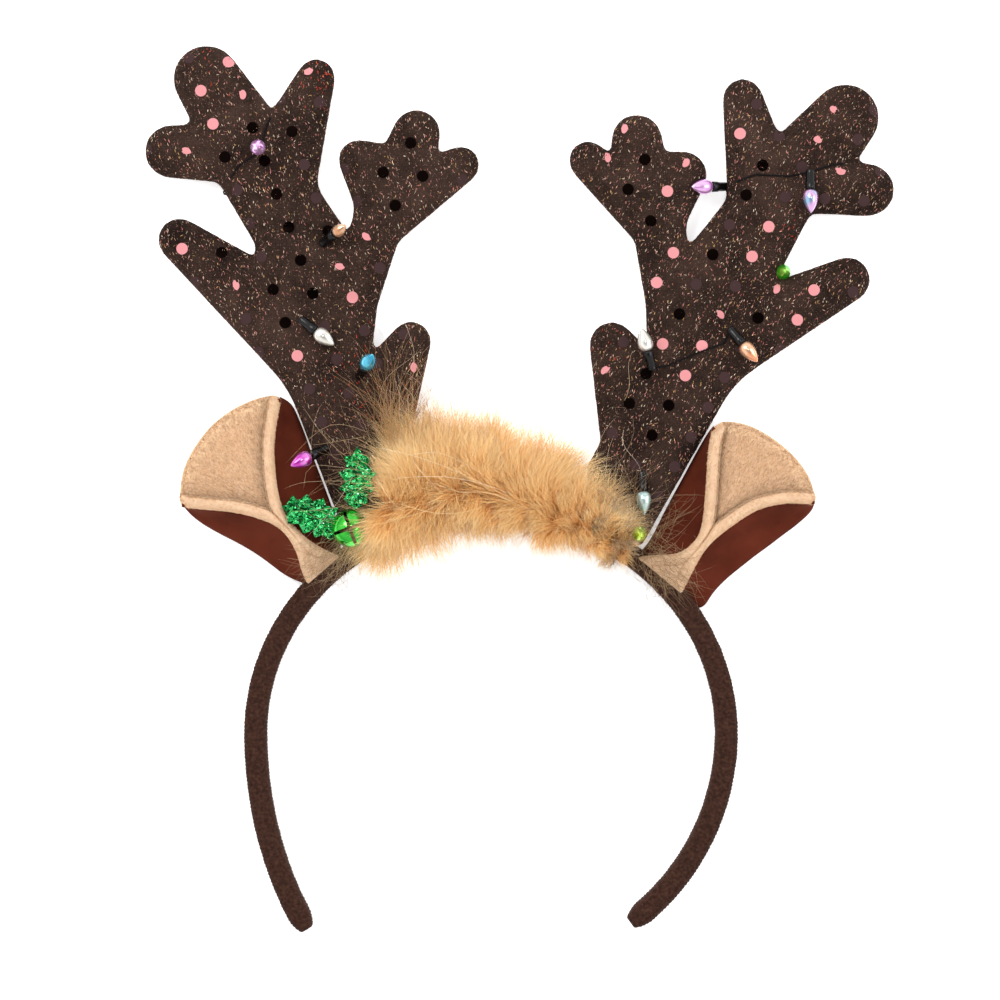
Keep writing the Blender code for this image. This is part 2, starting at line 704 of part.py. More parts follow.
def bulb_mesh():
    bm = bmesh.new()
    ring = [bm.verts.new((r * BULB_RADIUS, 0.0, z * BULB_LENGTH)) for r, z in BULB_PROFILE]
    for a, b in zip(ring, ring[1:]):
        bm.edges.new((a, b))
    bmesh.ops.spin(
        bm,
        geom=bm.verts[:] + bm.edges[:],
        axis=(0, 0, 1),
        cent=(0, 0, 0),
        steps=ROUND_SIDES,
        angle=math.tau,
    )
    bmesh.ops.remove_doubles(bm, verts=bm.verts, dist=0.001 * MM)
    return mesh_from(bm, "bulb")


def socket_mesh():
    bm = bmesh.new()
    bmesh.ops.create_cone(
        bm,
        cap_ends=True,
        segments=ROUND_SIDES,
        radius1=SOCKET_RADIUS * 0.85,
        radius2=SOCKET_RADIUS,
        depth=SOCKET_LENGTH,
        matrix=Matrix.Translation((0.0, 0.0, SOCKET_LENGTH / 2)),
    )
    return mesh_from(bm, "socket")


def build_lights(socket_finish, bulb_finishes, parts):
    socket, bulb = socket_mesh(), bulb_mesh()
    socket.materials.append(socket_finish)
    bulb.materials.append(None)
    for name, x, y, z, *direction in LIGHTS:
        way = Vector(direction).normalized()
        rear = Vector((x, y, z)) * MM
        turn = way.to_track_quat("Z", "Y").to_matrix().to_4x4()
        holder = bpy.data.objects.new(f"socket_{name}", socket)
        holder.matrix_world = Matrix.Translation(rear) @ turn
        parts.objects.link(holder)
        lamp = bpy.data.objects.new(f"bulb_{name}", bulb)
        lamp.matrix_world = Matrix.Translation(rear + way * (SOCKET_LENGTH + GAP)) @ turn
        parts.objects.link(lamp)
        lamp.material_slots[0].link = "OBJECT"
        lamp.material_slots[0].material = bulb_finishes[name]


def round_edge(spot, angle, from_front):
    """Five points that take the cord round the antler's rolled side."""
    outward = Vector((math.cos(math.radians(angle)), math.sin(math.radians(angle)), 0.0))
    middle = ANTLER_BACK + ANTLER_THICKNESS / 2
    half = STRING_FRONT_Z - middle
    turn = ((-2.4 * MM, half), (0.25 * MM, half - 0.8 * MM), (1.15 * MM, 0.0))
    steps = list(turn) + [(out, -rise) for out, rise in reversed(turn[:-1])]
    steps.append((-4.5 * MM, -half))
    if not from_front:
        steps.reverse()
    lift = Vector((0.0, 0.0, 1.0))
    return [spot + outward * out + lift * (middle + rise) for out, rise in steps]


def string_points(route):
    rears = {row[0]: row[1:] for row in LIGHTS}
    points = []
    on_front = True
    for place, x, y, angle in route:
        if place in rears:
            *rear, dx, dy, dz = rears[place]
            way = Vector((dx, dy, dz)).normalized()
            points.append(Vector(rear) * MM - way * (CORD_CLEAR + GAP))
        elif place == "edge":
            points += round_edge(Vector((x, y, 0.0)) * MM, angle, on_front)
            on_front = not on_front
        else:
            height = STRING_FRONT_Z if place == "front" else STRING_BACK_Z
            points.append(Vector((x * MM, y * MM, height)))
    return points


def build_string(name, route, finish, parts):
    points = string_points(route)
    curve = bpy.data.curves.new(name, "CURVE")
    curve.dimensions = "3D"
    curve.resolution_u = 2
    spline = curve.splines.new("BEZIER")
    spline.bezier_points.add(len(points) - 1)
    for control, point in zip(spline.bezier_points, points):
        control.co = point
        control.handle_left_type = control.handle_right_type = "AUTO"
    curve.bevel_depth = CORD_WIDTH / 2
    curve.bevel_resolution = 1
    curve.use_fill_caps = True
    return link(name, curve, finish, parts)


def main():
    clear_scene()
    parts = new_collection("reindeer_antler_headband")
    helpers = new_collection("cutters", helper=True)
    knit = material("brown_knit", (0.035, 0.022, 0.018), 0.9)
    felt = material("antler_felt", (0.022, 0.012, 0.010), 0.85)
    velour = material("beige_velour", (0.68, 0.43, 0.25), 0.9)
    suede = material("russet_suede", (0.10, 0.022, 0.012), 0.8)
    fur = material("tan_fur", (0.62, 0.33, 0.13), 0.95)
    foil = material("green_foil", (0.0, 0.30, 0.08), 0.3, 0.8)
    metal = material("green_metal", (0.03, 0.38, 0.05), 0.2, 1.0)
    plastic = material("black_plastic", (0.01, 0.01, 0.01), 0.35)
    bulbs = {
        name: material(f"bulb_{name}", colour, 0.2, 0.9)
        for name, colour in BULB_COLOURS.items()
    }
    build_headband(knit, parts, helpers)
    build_antler("antler_left", LEFT_ANTLER, LEFT_FOOT, felt, parts)
    build_antler("antler_right", RIGHT_ANTLER, RIGHT_FOOT, felt, parts)
    build_ear("left", LEFT_EAR, velour, suede, parts)
    build_ear("right", RIGHT_EAR, velour, suede, parts)
    build_fur(fur, parts)
    build_bell(metal, parts, helpers)
    for row in LEAVES:
        build_leaf(row, foil, parts)
    build_lights(plastic, bulbs, parts)
    build_string("light_string_left", LEFT_STRING, plastic, parts)
    build_string("light_string_right", RIGHT_STRING, plastic, parts)


main()
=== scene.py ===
"""Looks of a reindeer antler headband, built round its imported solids.

Everything is in metres in the solids' own frame: +Y runs up to the antlers' tips, +X to the right
as seen from the front and +Z comes out of the front. Left and right are meant from the front too.
"""

import logging
import math
from dataclasses import dataclass
from enum import Enum
from typing import Any, Iterable, Sequence

import bmesh
import bpy
import numpy as np
from bmesh.types import BMesh
from bpy.types import Material, Node, NodeSocket, NodeTree, Object
from mathutils import Matrix, Vector, noise
from mathutils.bvhtree import BVHTree
from mathutils.kdtree import KDTree
from numpy.random import Generator

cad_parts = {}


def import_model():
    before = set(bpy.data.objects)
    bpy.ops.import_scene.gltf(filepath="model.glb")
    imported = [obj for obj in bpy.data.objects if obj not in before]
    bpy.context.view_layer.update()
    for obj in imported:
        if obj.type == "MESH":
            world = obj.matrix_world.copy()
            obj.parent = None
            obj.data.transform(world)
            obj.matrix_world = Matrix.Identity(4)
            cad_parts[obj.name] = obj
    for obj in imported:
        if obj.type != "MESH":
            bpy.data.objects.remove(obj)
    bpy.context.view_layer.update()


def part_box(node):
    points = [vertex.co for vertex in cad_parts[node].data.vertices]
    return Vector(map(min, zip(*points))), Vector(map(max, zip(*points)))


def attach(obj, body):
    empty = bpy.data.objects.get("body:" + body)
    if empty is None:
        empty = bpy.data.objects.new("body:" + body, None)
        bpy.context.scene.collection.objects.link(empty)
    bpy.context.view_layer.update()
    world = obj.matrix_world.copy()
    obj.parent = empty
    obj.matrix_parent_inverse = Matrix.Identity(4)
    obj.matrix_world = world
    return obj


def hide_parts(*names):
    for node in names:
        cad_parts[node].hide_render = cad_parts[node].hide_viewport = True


LOG = logging.getLogger("headband")
MM = 0.001
BODY = "root"
UP = Vector((0.0, 0.0, 1.0))
Pair = tuple[float, float]
Curve = tuple[Pair, ...]


def linear(colour: str) -> tuple[float, float, float, float]:
    """Turns an sRGB colour into linear light.

    Args:
        colour: The colour as #rrggbb.

    Returns:
        Red, green, blue and an alpha of 1, in linear light.
    """
    channels = [int(colour[i : i + 2], 16) / 255 for i in (1, 3, 5)]
    red, green, blue = (
        c / 12.92 if c <= 0.04045 else ((c + 0.055) / 1.055) ** 2.4 for c in channels
    )
    return red, green, blue, 1.0


def add_node(
    tree: NodeTree, kind: str, settings: dict[str, Any] | None = None,
    inputs: dict[str | int, Any] | None = None,
) -> Node:
    """Adds a node with its settings, and sets or links its inputs.

    Args:
        tree: The node tree.
        kind: The node's type, such as ShaderNodeBump.
        settings: Properties of the node by name.
        inputs: Values by socket name or number; an output socket is linked.

    Returns:
        The new node.
    """
    node = tree.nodes.new(kind)
    for name, value in (settings or {}).items():
        setattr(node, name, value)
    for key, value in (inputs or {}).items():
        socket = node.inputs[key]
        if isinstance(value, NodeSocket):
            tree.links.new(value, socket)
        else:
            socket.default_value = value
    return node


def ramp(tree: NodeTree, factor: NodeSocket, stops: Sequence[tuple[float, str]]) -> NodeSocket:
    """Adds a colour ramp.

    Args:
        tree: The node tree.
        factor: What the ramp reads.
        stops: Places from 0 to 1 with their colours.

    Returns:
        The ramp's colour output.
    """
    node = add_node(tree, "ShaderNodeValToRGB", inputs={"Fac": factor})
    elements = node.color_ramp.elements
    while len(elements) < len(stops):
        elements.new(0.5)
    for element, (place, colour) in zip(elements, stops):
        element.position = place
        element.color = linear(colour)
    return node.outputs["Color"]


@dataclass(frozen=True)
class Finish:
    """One surface finish, with the shader values that are the same all over it."""

    name: str
    colour: str
    roughness: float
    metallic: float = 0.0
    ior: float = 1.5
    specular: float = 0.5
    sheen: float = 0.0
    sheen_roughness: float = 0.4
    sheen_colour: str = "#ffffff"
    coat: float = 0.0
    coat_roughness: float = 0.05

    def material(self) -> Material:
        """Makes the finish's material once.

        Returns:
            The material.
        """
        found = bpy.data.materials.get(self.name)
        if found:
            return found
        made = bpy.data.materials.new(self.name)
        made.use_nodes = True
        shader = made.node_tree.nodes["Principled BSDF"]
        values = {
            "Base Color": linear(self.colour), "Roughness": self.roughness,
            "Metallic": self.metallic, "IOR": self.ior, "Specular IOR Level": self.specular,
            "Sheen Weight": self.sheen, "Sheen Roughness": self.sheen_roughness,
            "Sheen Tint": linear(self.sheen_colour), "Coat Weight": self.coat,
            "Coat Roughness": self.coat_roughness,
        }
        for name, value in values.items():
            shader.inputs[name].default_value = value
        made.diffuse_color = linear(self.colour)
        self.pattern(made.node_tree, shader)
        return made

    def pattern(self, tree: NodeTree, shader: Node) -> None:
        """Adds what varies over the surface; a plain finish has nothing."""

    def place(self, tree: NodeTree) -> NodeSocket:
        """Returns the place on the object in metres."""
        return add_node(tree, "ShaderNodeTexCoord").outputs["Object"]

    def bump(
        self, tree: NodeTree, shader: Node, height: NodeSocket, depth_mm: float,
        strength: float = 1.0,
    ) -> None:
        """Bumps the shader's normal.

        Args:
            tree: The node tree.
            shader: The shader.
            height: The height, from 0 to 1.
            depth_mm: The depth of the relief.
            strength: Share of the bump that shows.
        """
        node = add_node(
            tree, "ShaderNodeBump",
            inputs={"Height": height, "Distance": depth_mm * MM, "Strength": strength},
        )
        tree.links.new(node.outputs["Normal"], shader.inputs["Normal"])


@dataclass(frozen=True)
class Mottled(Finish):
    """A finish whose colour drifts between three shades over a grain, with a fine relief."""

    dark: str = "#000000"
    light: str = "#ffffff"
    grain_mm: float = 1.0
    relief_mm: float = 0.1
    relief_strength: float = 0.5
    relief_finer: float = 4.0

    def pattern(self, tree: NodeTree, shader: Node) -> None:
        """Mixes the three shades by a noise of the grain's size and bumps with a finer one.

        Args:
            tree: The node tree.
            shader: The shader.
        """
        place = self.place(tree)
        drift = add_node(
            tree, "ShaderNodeTexNoise",
            inputs={"Vector": place, "Scale": 1 / (self.grain_mm * MM), "Detail": 4.0},
        )
        stops = ((0.3, self.dark), (0.5, self.colour), (0.72, self.light))
        tree.links.new(ramp(tree, drift.outputs["Fac"], stops), shader.inputs["Base Color"])
        fine = add_node(
            tree,
            "ShaderNodeTexNoise",
            inputs={
                "Vector": place, "Scale": self.relief_finer / (self.grain_mm * MM), "Detail": 3.0
            },
        )
        self.bump(tree, shader, fine.outputs["Fac"], self.relief_mm, self.relief_strength)


@dataclass(frozen=True)
class Knitted(Finish):
    """A fine knit: rows of small cells, with a slow drift between two shades."""

    dark: str = "#000000"
    light: str = "#ffffff"
    stitch_mm: float = 0.7
    unevenness: float = 0.55
    rim_shade: float = 0.35
    drift_mm: float = 14.0
    relief_mm: float = 0.15
    relief_strength: float = 0.7

    def pattern(self, tree: NodeTree, shader: Node) -> None:
        """Draws the knit's cells as shade and relief.

        Args:
            tree: The node tree.
            shader: The shader.
        """
        place = self.place(tree)
        cells = add_node(
            tree,
            "ShaderNodeTexVoronoi",
            inputs={
                "Vector": place, "Scale": 1 / (self.stitch_mm * MM), "Randomness": self.unevenness
            },
        )
        drift = add_node(
            tree,
            "ShaderNodeTexNoise",
            inputs={
                "Vector": place, "Scale": 1 / (self.drift_mm * MM), "Detail": 5.0, "Roughness": 0.65
            },
        )
        mixed = add_node(
            tree, "ShaderNodeMath", {"operation": "MULTIPLY_ADD"},
            {0: cells.outputs["Distance"], 1: -self.rim_shade, 2: drift.outputs["Fac"]},
        )
        stops = ((0.12, self.dark), (0.36, self.colour), (0.6, self.light))
        tree.links.new(ramp(tree, mixed.outputs["Value"], stops), shader.inputs["Base Color"])
        turned = add_node(
            tree, "ShaderNodeMath", {"operation": "SUBTRACT"},
            {0: 1.0, 1: cells.outputs["Distance"]},
        )
        self.bump(tree, shader, turned.outputs["Value"], self.relief_mm, self.relief_strength)


@dataclass(frozen=True)
class Tinted(Finish):
    """A finish whose colour comes from each fibre's own tint."""

    def pattern(self, tree: NodeTree, shader: Node) -> None:
        """Reads the tint stored on the mesh."""
        tint = add_node(tree, "ShaderNodeAttribute", {"attribute_name": "tint"})
        tree.links.new(tint.outputs["Color"], shader.inputs["Base Color"])


@dataclass(frozen=True)
class Crinkled(Finish):
    """Metallised film: flat facets at odd angles, each painted brighter or darker as its reflection."""

    dark: str = "#000000"
    light: str = "#ffffff"
    facet_mm: float = 0.8
    relief_mm: float = 0.35
    relief_strength: float = 0.9

    def pattern(self, tree: NodeTree, shader: Node) -> None:
        """Draws the film's facets as painted reflection and relief.

        Args:
            tree: The node tree.
            shader: The shader.
        """
        place = self.place(tree)
        facets = add_node(
            tree, "ShaderNodeTexVoronoi",
            inputs={"Vector": place, "Scale": 1 / (self.facet_mm * MM)},
        )
        grey = add_node(tree, "ShaderNodeSeparateColor", inputs={"Color": facets.outputs["Color"]})
        stops = ((0.15, self.dark), (0.5, self.colour), (0.9, self.light))
        tree.links.new(ramp(tree, grey.outputs["Red"], stops), shader.inputs["Base Color"])
        height = facets.outputs["Distance"]
        self.bump(tree, shader, height, self.relief_mm, self.relief_strength)


@dataclass(frozen=True)
class Gradient(Finish):
    """Vacuum-metallised plastic whose hue shifts along the bulb."""

    second: str = "#ffffff"
    band_mm: float = 4.0

    def pattern(self, tree: NodeTree, shader: Node) -> None:
        """Drifts between the two hues in soft bands.

        Args:
            tree: The node tree.
            shader: The shader.
        """
        drift = add_node(
            tree, "ShaderNodeTexNoise",
            inputs={"Vector": self.place(tree), "Scale": 1 / (self.band_mm * MM), "Detail": 1.0},
        )
        stops = ((0.4, self.colour), (0.6, self.second))
        tree.links.new(ramp(tree, drift.outputs["Fac"], stops), shader.inputs["Base Color"])


# Brushed polyester knit, wound round a plastic core: dull, with a soft edge of loose fibre.
BAND_KNIT = Mottled(
    "brushed_polyester_knit", "#3b251d", 0.95, specular=0.1, sheen=0.12,
    sheen_colour="#8a6a5c", dark="#2b1a14", light="#4b3228", grain_mm=0.9, relief_mm=0.15,
)
# Warp-knitted polyester with metallised thread: nearly black brown between bright flecks.
ANTLER_KNIT = Knitted(
    "lurex_warp_knit", "#33251f", 0.9, specular=0.08, dark="#1c1310", light="#46352d",
    stitch_mm=0.62, relief_mm=0.16,
)
# Metallised polyester thread: flat ribbon, so each fleck flashes or goes dark by itself; the flash and
# the dark are painted into each fleck's tint.
LUREX = Tinted("metallised_thread", "#c9a079", 0.4, metallic=0.35)
# Hot-stamped foil dots: a mirror film, pale where it catches the lamps and black where it doesn't; the
# pale pink and the black are painted reflection, each its own material.
FOIL_PINK = Finish("foil_dot_pink", "#da8d90", 0.6, metallic=0.15)
FOIL_BLACK = Finish("foil_dot_black", "#0b0605", 0.4, metallic=1.0)
FOIL_MAUVE = Finish("foil_dot_mauve", "#402d2d", 0.7, specular=0.08)
# Polyester velour: a short dense nap, pale at its tips and brown between them.
VELOUR_GROUND = Tinted("velour_ground", "#cda983", 0.95, specular=0.15)
VELOUR_NAP = Tinted("velour_nap", "#dcb58b", 0.9, specular=0.2)
# Peach-skin microfibre: a smooth even russet with a slow change of shade.
SUEDE = Mottled(
    "russet_microfibre", "#5a2516", 0.9, specular=0.1, sheen=0.06, sheen_colour="#a05a3c",
    dark="#4c1d10", light="#632b1a", grain_mm=11.0, relief_mm=0.04, relief_strength=0.25,
)
# Dyed marabou down: fine matt barbs, rusty at the root and pale at the tip.
DOWN = Tinted("marabou_down", "#dea468", 0.8, specular=0.25)
DOWN_ROOTS = Mottled(
    "marabou_quill", "#cf8444", 0.95, dark="#b86c34", light="#dfa060", grain_mm=2.2,
)
# Glittered metallised film: every facet mirrors a different lamp, and its brighter or darker green is
# painted reflection.
HOLLY_FILM = Crinkled(
    "emerald_metallised_film", "#12a34a", 0.22, metallic=0.75,
    dark="#04391a", light="#5be58c", facet_mm=0.75, relief_mm=0.5,
)
GLITTER = Tinted("emerald_glitter", "#30c468", 0.2, metallic=0.7)
# Lacquered sheet steel: tinted clear lacquer over a bright metal.
BELL_METAL = Gradient(
    "green_lacquered_steel", "#22b52a", 0.16, metallic=0.95, coat=0.6, second="#4fdc46", band_mm=5.0
)
# Near-black painted shade for the bell's hollow inside, the walls of its slits and its pellet
BELL_HOLLOW_PAINTED_SHADE = Finish("bell_inside_steel", "#060a06", 0.9, specular=0.1)
# Injection-moulded ABS sockets and PVC wire: black with a soft shine.
SOCKET_PLASTIC = Mottled(
    "black_moulded_abs", "#070708", 0.24, specular=0.35,
    dark="#040405", light="#0c0c0d", grain_mm=1.5, relief_mm=0.02,
)
WIRE_PVC = Mottled(
    "black_pvc_wire", "#080607", 0.6, specular=0.2, dark="#050404", light="#100d0e",
    grain_mm=1.2, relief_mm=0.03,
)


@dataclass(frozen=True)
class Backlit(Finish):
    """White acrylic with a lamp under it, which washes out most of the shadows."""

    glow: float = 0.6

    def pattern(self, tree: NodeTree, shader: Node) -> None:
        """Lets the sheet glow evenly."""
        shader.inputs["Emission Color"].default_value = linear(self.colour)
        shader.inputs["Emission Strength"].default_value = self.glow


# Opal acrylic of a light table: matt, nearly white and softly lit from below.
TABLE = Backlit("opal_acrylic_table", "#fdfdfd", 0.8)


class Bulb(Enum):
    """The lights' colours, as vacuum-metallised plastic: main hue and the hue it shifts to."""

    LILAC = ("#e08fe6", "#f6c4f4")
    COPPER = ("#d99a72", "#f2c9a8")
    SILVER = ("#e9e6dc", "#f7f6f0")
    BLUE = ("#2fa3c9", "#63c9e6")
    MAGENTA = ("#cf3fc0", "#f28be8")
    IRIDESCENT = ("#9fc4e6", "#e6b8ea")
    GREEN = ("#43d323", "#a8f25e")
    PEACH = ("#f0a276", "#fbc9a4")
    AQUA = ("#bfe6e4", "#e9f6f2")
    LIME = ("#b7dc3c", "#def27c")

    def finish(self) -> Finish:
        """Makes the bulb's finish.

        Returns:
            The finish, named for the bulb's colour.
        """
        main, second = self.value
        name = f"{self.slot()}_metallised"
        return Gradient(name, main, 0.2, metallic=0.7, coat=0.5, second=second, band_mm=2.6)

    def slot(self) -> str:
        """Returns the name of the record's material slot."""
        return f"bulb_{self.name.lower()}"


class Foil(Enum):
    """How a foil dot looks from the front; pink and black are the one film's painted reflection."""

    PINK = FOIL_PINK
    BLACK = FOIL_BLACK
    MAUVE = FOIL_MAUVE


def mesh_object(
    name: str, points: np.ndarray, triangles: np.ndarray, finishes: Sequence[Finish],
    tints: np.ndarray | None = None, groups: np.ndarray | None = None, smooth: bool = True,
) -> Object:
    """Makes an object of one triangle mesh.

    Args:
        name: The object's name.
        points: Points in metres, one row each.
        triangles: Three point numbers a row.
        finishes: The finishes that its faces use.
        tints: A linear colour for each point, stored as the attribute tint.
        groups: Each face's place in finishes.
        smooth: Whether the faces shade smoothly.

    Returns:
        The object, linked to the scene.
    """
    mesh = bpy.data.meshes.new(name)
    mesh.vertices.add(len(points))
    mesh.vertices.foreach_set("co", np.asarray(points, np.float32).ravel())
    mesh.loops.add(triangles.size)
    mesh.loops.foreach_set("vertex_index", np.asarray(triangles, np.int32).ravel())
    mesh.polygons.add(len(triangles))
    mesh.polygons.foreach_set("loop_start", np.arange(0, triangles.size, 3, dtype=np.int32))
    mesh.polygons.foreach_set("use_smooth", np.full(len(triangles), smooth))
    if groups is not None:
        mesh.polygons.foreach_set("material_index", np.asarray(groups, np.int32))
    mesh.update(calc_edges=True)
    if tints is not None:
        layer = mesh.color_attributes.new("tint", "FLOAT_COLOR", "POINT")
        layer.data.foreach_set("color", np.asarray(tints, np.float32).ravel())
    for finish in finishes:
        mesh.materials.append(finish.material())
    made = bpy.data.objects.new(name, mesh)
    bpy.context.scene.collection.objects.link(made)
    return made


def object_from(bm: BMesh, name: str, finish: Finish) -> Object:
    """Makes a smooth-shaded object of an edited mesh.

    Args:
        bm: The mesh, which is freed.
        name: The object's name.
        finish: Its finish.

    Returns:
        The object, linked to the scene.
    """
    bmesh.ops.recalc_face_normals(bm, faces=bm.faces)
    mesh = bpy.data.meshes.new(name)
    bm.to_mesh(mesh)
    bm.free()
    mesh.shade_smooth()
    mesh.materials.append(finish.material())
    made = bpy.data.objects.new(name, mesh)
    bpy.context.scene.collection.objects.link(made)
    return made


def applied(piece: Object) -> Object:
    """Applies a piece's modifiers.

    Args:
        piece: The object.

    Returns:
        The same object, with no modifier left.
    """
    bpy.context.view_layer.update()
    graph = bpy.context.evaluated_depsgraph_get()
    mesh = bpy.data.meshes.new_from_object(piece.evaluated_get(graph))
    piece.modifiers.clear()
    piece.data = mesh
    mesh.shade_smooth()
    return piece


def solid_copy(node: Object) -> BMesh:
    """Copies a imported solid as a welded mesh, with its triangles joined back into quads.

    Args:
        node: The solid's object.

    Returns:
        The editable mesh.
    """
    bm = bmesh.new()
    bm.from_mesh(node.data)
    bmesh.ops.remove_doubles(bm, verts=bm.verts, dist=0.005 * MM)
    bmesh.ops.join_triangles(
        bm, faces=bm.faces, angle_face_threshold=math.radians(40),
        angle_shape_threshold=math.radians(60),
    )
    return bm


def strand_mesh(
    name: str, paths: np.ndarray, widths: np.ndarray, tints: np.ndarray, finish: Finish
) -> Object:
    """Makes many closed three-sided strands that taper to a point, as one mesh.

    Args:
        name: The object's name.
        paths: Each strand's points, shaped strands x points x 3.
        widths: Radii in metres at all points but the last, strands x (points - 1).
        tints: Linear colours, strands x points x 4.
        finish: The strands' finish.

    Returns:
        The object.
    """
    count, length = paths.shape[:2]
    rings = length - 1
    along = np.gradient(paths, axis=1)
    along /= np.linalg.norm(along, axis=2, keepdims=True) + 1e-12
    # Any direction that no strand follows starts the rings off
    side = np.cross(along[:, :1], np.array([0.31, 0.17, 0.93]))
    side = np.repeat(side, length, axis=1)
    side -= along * (side * along).sum(2, keepdims=True)
    side /= np.linalg.norm(side, axis=2, keepdims=True) + 1e-12
    other = np.cross(along, side)
    corners = []
    for k in range(3):
        turn = math.tau * k / 3
        offset = side * math.cos(turn) + other * math.sin(turn)
        corners.append(paths[:, :rings] + offset[:, :rings] * widths[:, :, None])
    ring_points = np.stack(corners, axis=2).reshape(count, rings * 3, 3)
    points = np.concatenate([ring_points, paths[:, -1:]], axis=1)
    faces = [(0, 2, 1)]
    for ring in range(rings - 1):
        for k in range(3):
            a, b = ring * 3 + k, ring * 3 + (k + 1) % 3
            faces += [(a, b, b + 3), (a, b + 3, a + 3)]
    last = (rings - 1) * 3
    faces += [(last + k, last + (k + 1) % 3, rings * 3) for k in range(3)]
    pattern = np.array(faces)
    each = rings * 3 + 1
    triangles = (pattern[None] + np.arange(count)[:, None, None] * each).reshape(-1, 3)
    ring_tints = np.repeat(tints[:, :rings], 3, axis=1)
    colours = np.concatenate([ring_tints, tints[:, -1:]], axis=1).reshape(-1, 4)
    return mesh_object(name, points.reshape(-1, 3), triangles, [finish], colours)


def ribbon_mesh(
    name: str, paths: np.ndarray, width: float, tints: np.ndarray, finish: Finish, rng: Generator,
) -> Object:
    """Makes many flat barbs or hairs that taper to a point, as one mesh.

    Args:
        name: The object's name.
        paths: Each ribbon's points, shaped ribbons x points x 3.
        width: Half of a ribbon's width at its root, in metres.
        tints: Linear colours, ribbons x points x 4.
        finish: The ribbons' finish.
        rng: The source of random numbers, for each ribbon's roll.

    Returns:
        The object.
    """
    count, length = paths.shape[:2]
    along = unit(np.gradient(paths, axis=1))
    facing = np.array([0.0, 0.0, 1.0]) + rng.normal(0.0, 0.5, (count, 1, 3))
    side = unit(np.cross(along, facing))
    taper = np.linspace(1.0, 0.45, length - 1)[None, :, None] * width
    left = paths[:, :-1] - side[:, :-1] * taper
    right = paths[:, :-1] + side[:, :-1] * taper
    pairs = np.stack([left, right], axis=2).reshape(count, (length - 1) * 2, 3)
    points = np.concatenate([pairs, paths[:, -1:]], axis=1)
    faces = []
    for step in range(length - 2):
        a = step * 2
        faces += [(a, a + 1, a + 3), (a, a + 3, a + 2)]
    last = (length - 2) * 2
    faces.append((last, last + 1, last + 2))
    each = (length - 1) * 2 + 1
    triangles = (np.array(faces)[None] + np.arange(count)[:, None, None] * each).reshape(-1, 3)
    colours = np.concatenate([np.repeat(tints[:, :-1], 2, axis=1), tints[:, -1:]], axis=1)
    return mesh_object(name, points.reshape(-1, 3), triangles, [finish], colours.reshape(-1, 4))


def grid_faces(rows: int, columns: int) -> np.ndarray:
    """Numbers the triangles of a grid of points stored row by row.

    Args:
        rows: How many rows of points.
        columns: How many points a row.

    Returns:
        Three point numbers a row.
    """
    row, column = np.meshgrid(np.arange(rows - 1), np.arange(columns - 1), indexing="ij")
    a = (row * columns + column).ravel()
    b, c, d = a + columns, a + columns + 1, a + 1
    return np.concatenate([np.stack([a, b, c], axis=1), np.stack([a, c, d], axis=1)])


def lengths_along(line: np.ndarray) -> np.ndarray:
    """Returns the length of the line up to each of its points."""
    steps = np.linalg.norm(np.diff(line, axis=0), axis=1)
    return np.concatenate([[0.0], np.cumsum(steps)])


def read_off(table: np.ndarray, places: np.ndarray, wanted: np.ndarray) -> np.ndarray:
    """Reads a table's rows between its own ones.

    Args:
        table: The rows.
        places: Where each row lies, rising.
        wanted: The places to read at.

    Returns:
        An interpolated row for each wanted place.
    """
    return np.stack([np.interp(wanted, places, column) for column in table.T], axis=-1)


def resampled(table: Sequence[Sequence[float]], count: int, rounds: int = 3) -> np.ndarray:
    """Rounds off a polyline and spaces its points evenly.

    Args:
        table: The polyline's points.
        count: How many points to return.
        rounds: How many times its corners are cut.

    Returns:
        The points, with the first and last unmoved.
    """
    line = np.array(table, float)
    for _ in range(rounds):
        near = line[:-1] * 0.75 + line[1:] * 0.25
        far = line[:-1] * 0.25 + line[1:] * 0.75
        middle = np.stack([near, far], axis=1).reshape(-1, line.shape[1])
        line = np.concatenate([line[:1], middle, line[-1:]])
    length = lengths_along(line)
    return read_off(line, length, np.linspace(0.0, length[-1], count))


def distance_to(line: np.ndarray, points: np.ndarray) -> np.ndarray:
    """Measures from points to a polyline, on the plan.

    Args:
        line: The polyline's points, two or more columns.
        points: The points, two or more columns.

    Returns:
        The distance of each point to the nearest piece of the line.
    """
    best = np.full(len(points), np.inf)
    for a, b in zip(line[:-1, :2], line[1:, :2]):
        way = b - a
        share = ((points[:, :2] - a) @ way / (way @ way + 1e-18)).clip(0.0, 1.0)
        best = np.minimum(best, np.linalg.norm(points[:, :2] - a - share[:, None] * way, axis=1))
    return best


def facing_up(points: np.ndarray, faces: np.ndarray) -> np.ndarray:
    """Turns a sheet's faces so that most of them look up.

    Args:
        points: The sheet's points.
        faces: Its triangles.

    Returns:
        The triangles, all turned over if need be.
    """
    a, b, c = points[faces].transpose(1, 0, 2)
    return faces if np.cross(b - a, c - a)[:, 2].sum() > 0 else faces[:, ::-1]


def waves(points: np.ndarray, size: float, seed: float = 0.0) -> np.ndarray:
    """Returns smooth noise from -1 to 1 at each point, with lumps of the given size."""
    shift = Vector((seed, seed * 0.7, seed * 1.3))
    return np.array([noise.noise(Vector(p) / size + shift) for p in points])


def ripple(points: np.ndarray, size_and_depth_mm: Pair, seed: float = 0.0) -> np.ndarray:
    """Returns the height of smooth waves of a size and depth at each point."""
    size, depth = size_and_depth_mm
    return waves(points, size * MM, seed) * depth * MM


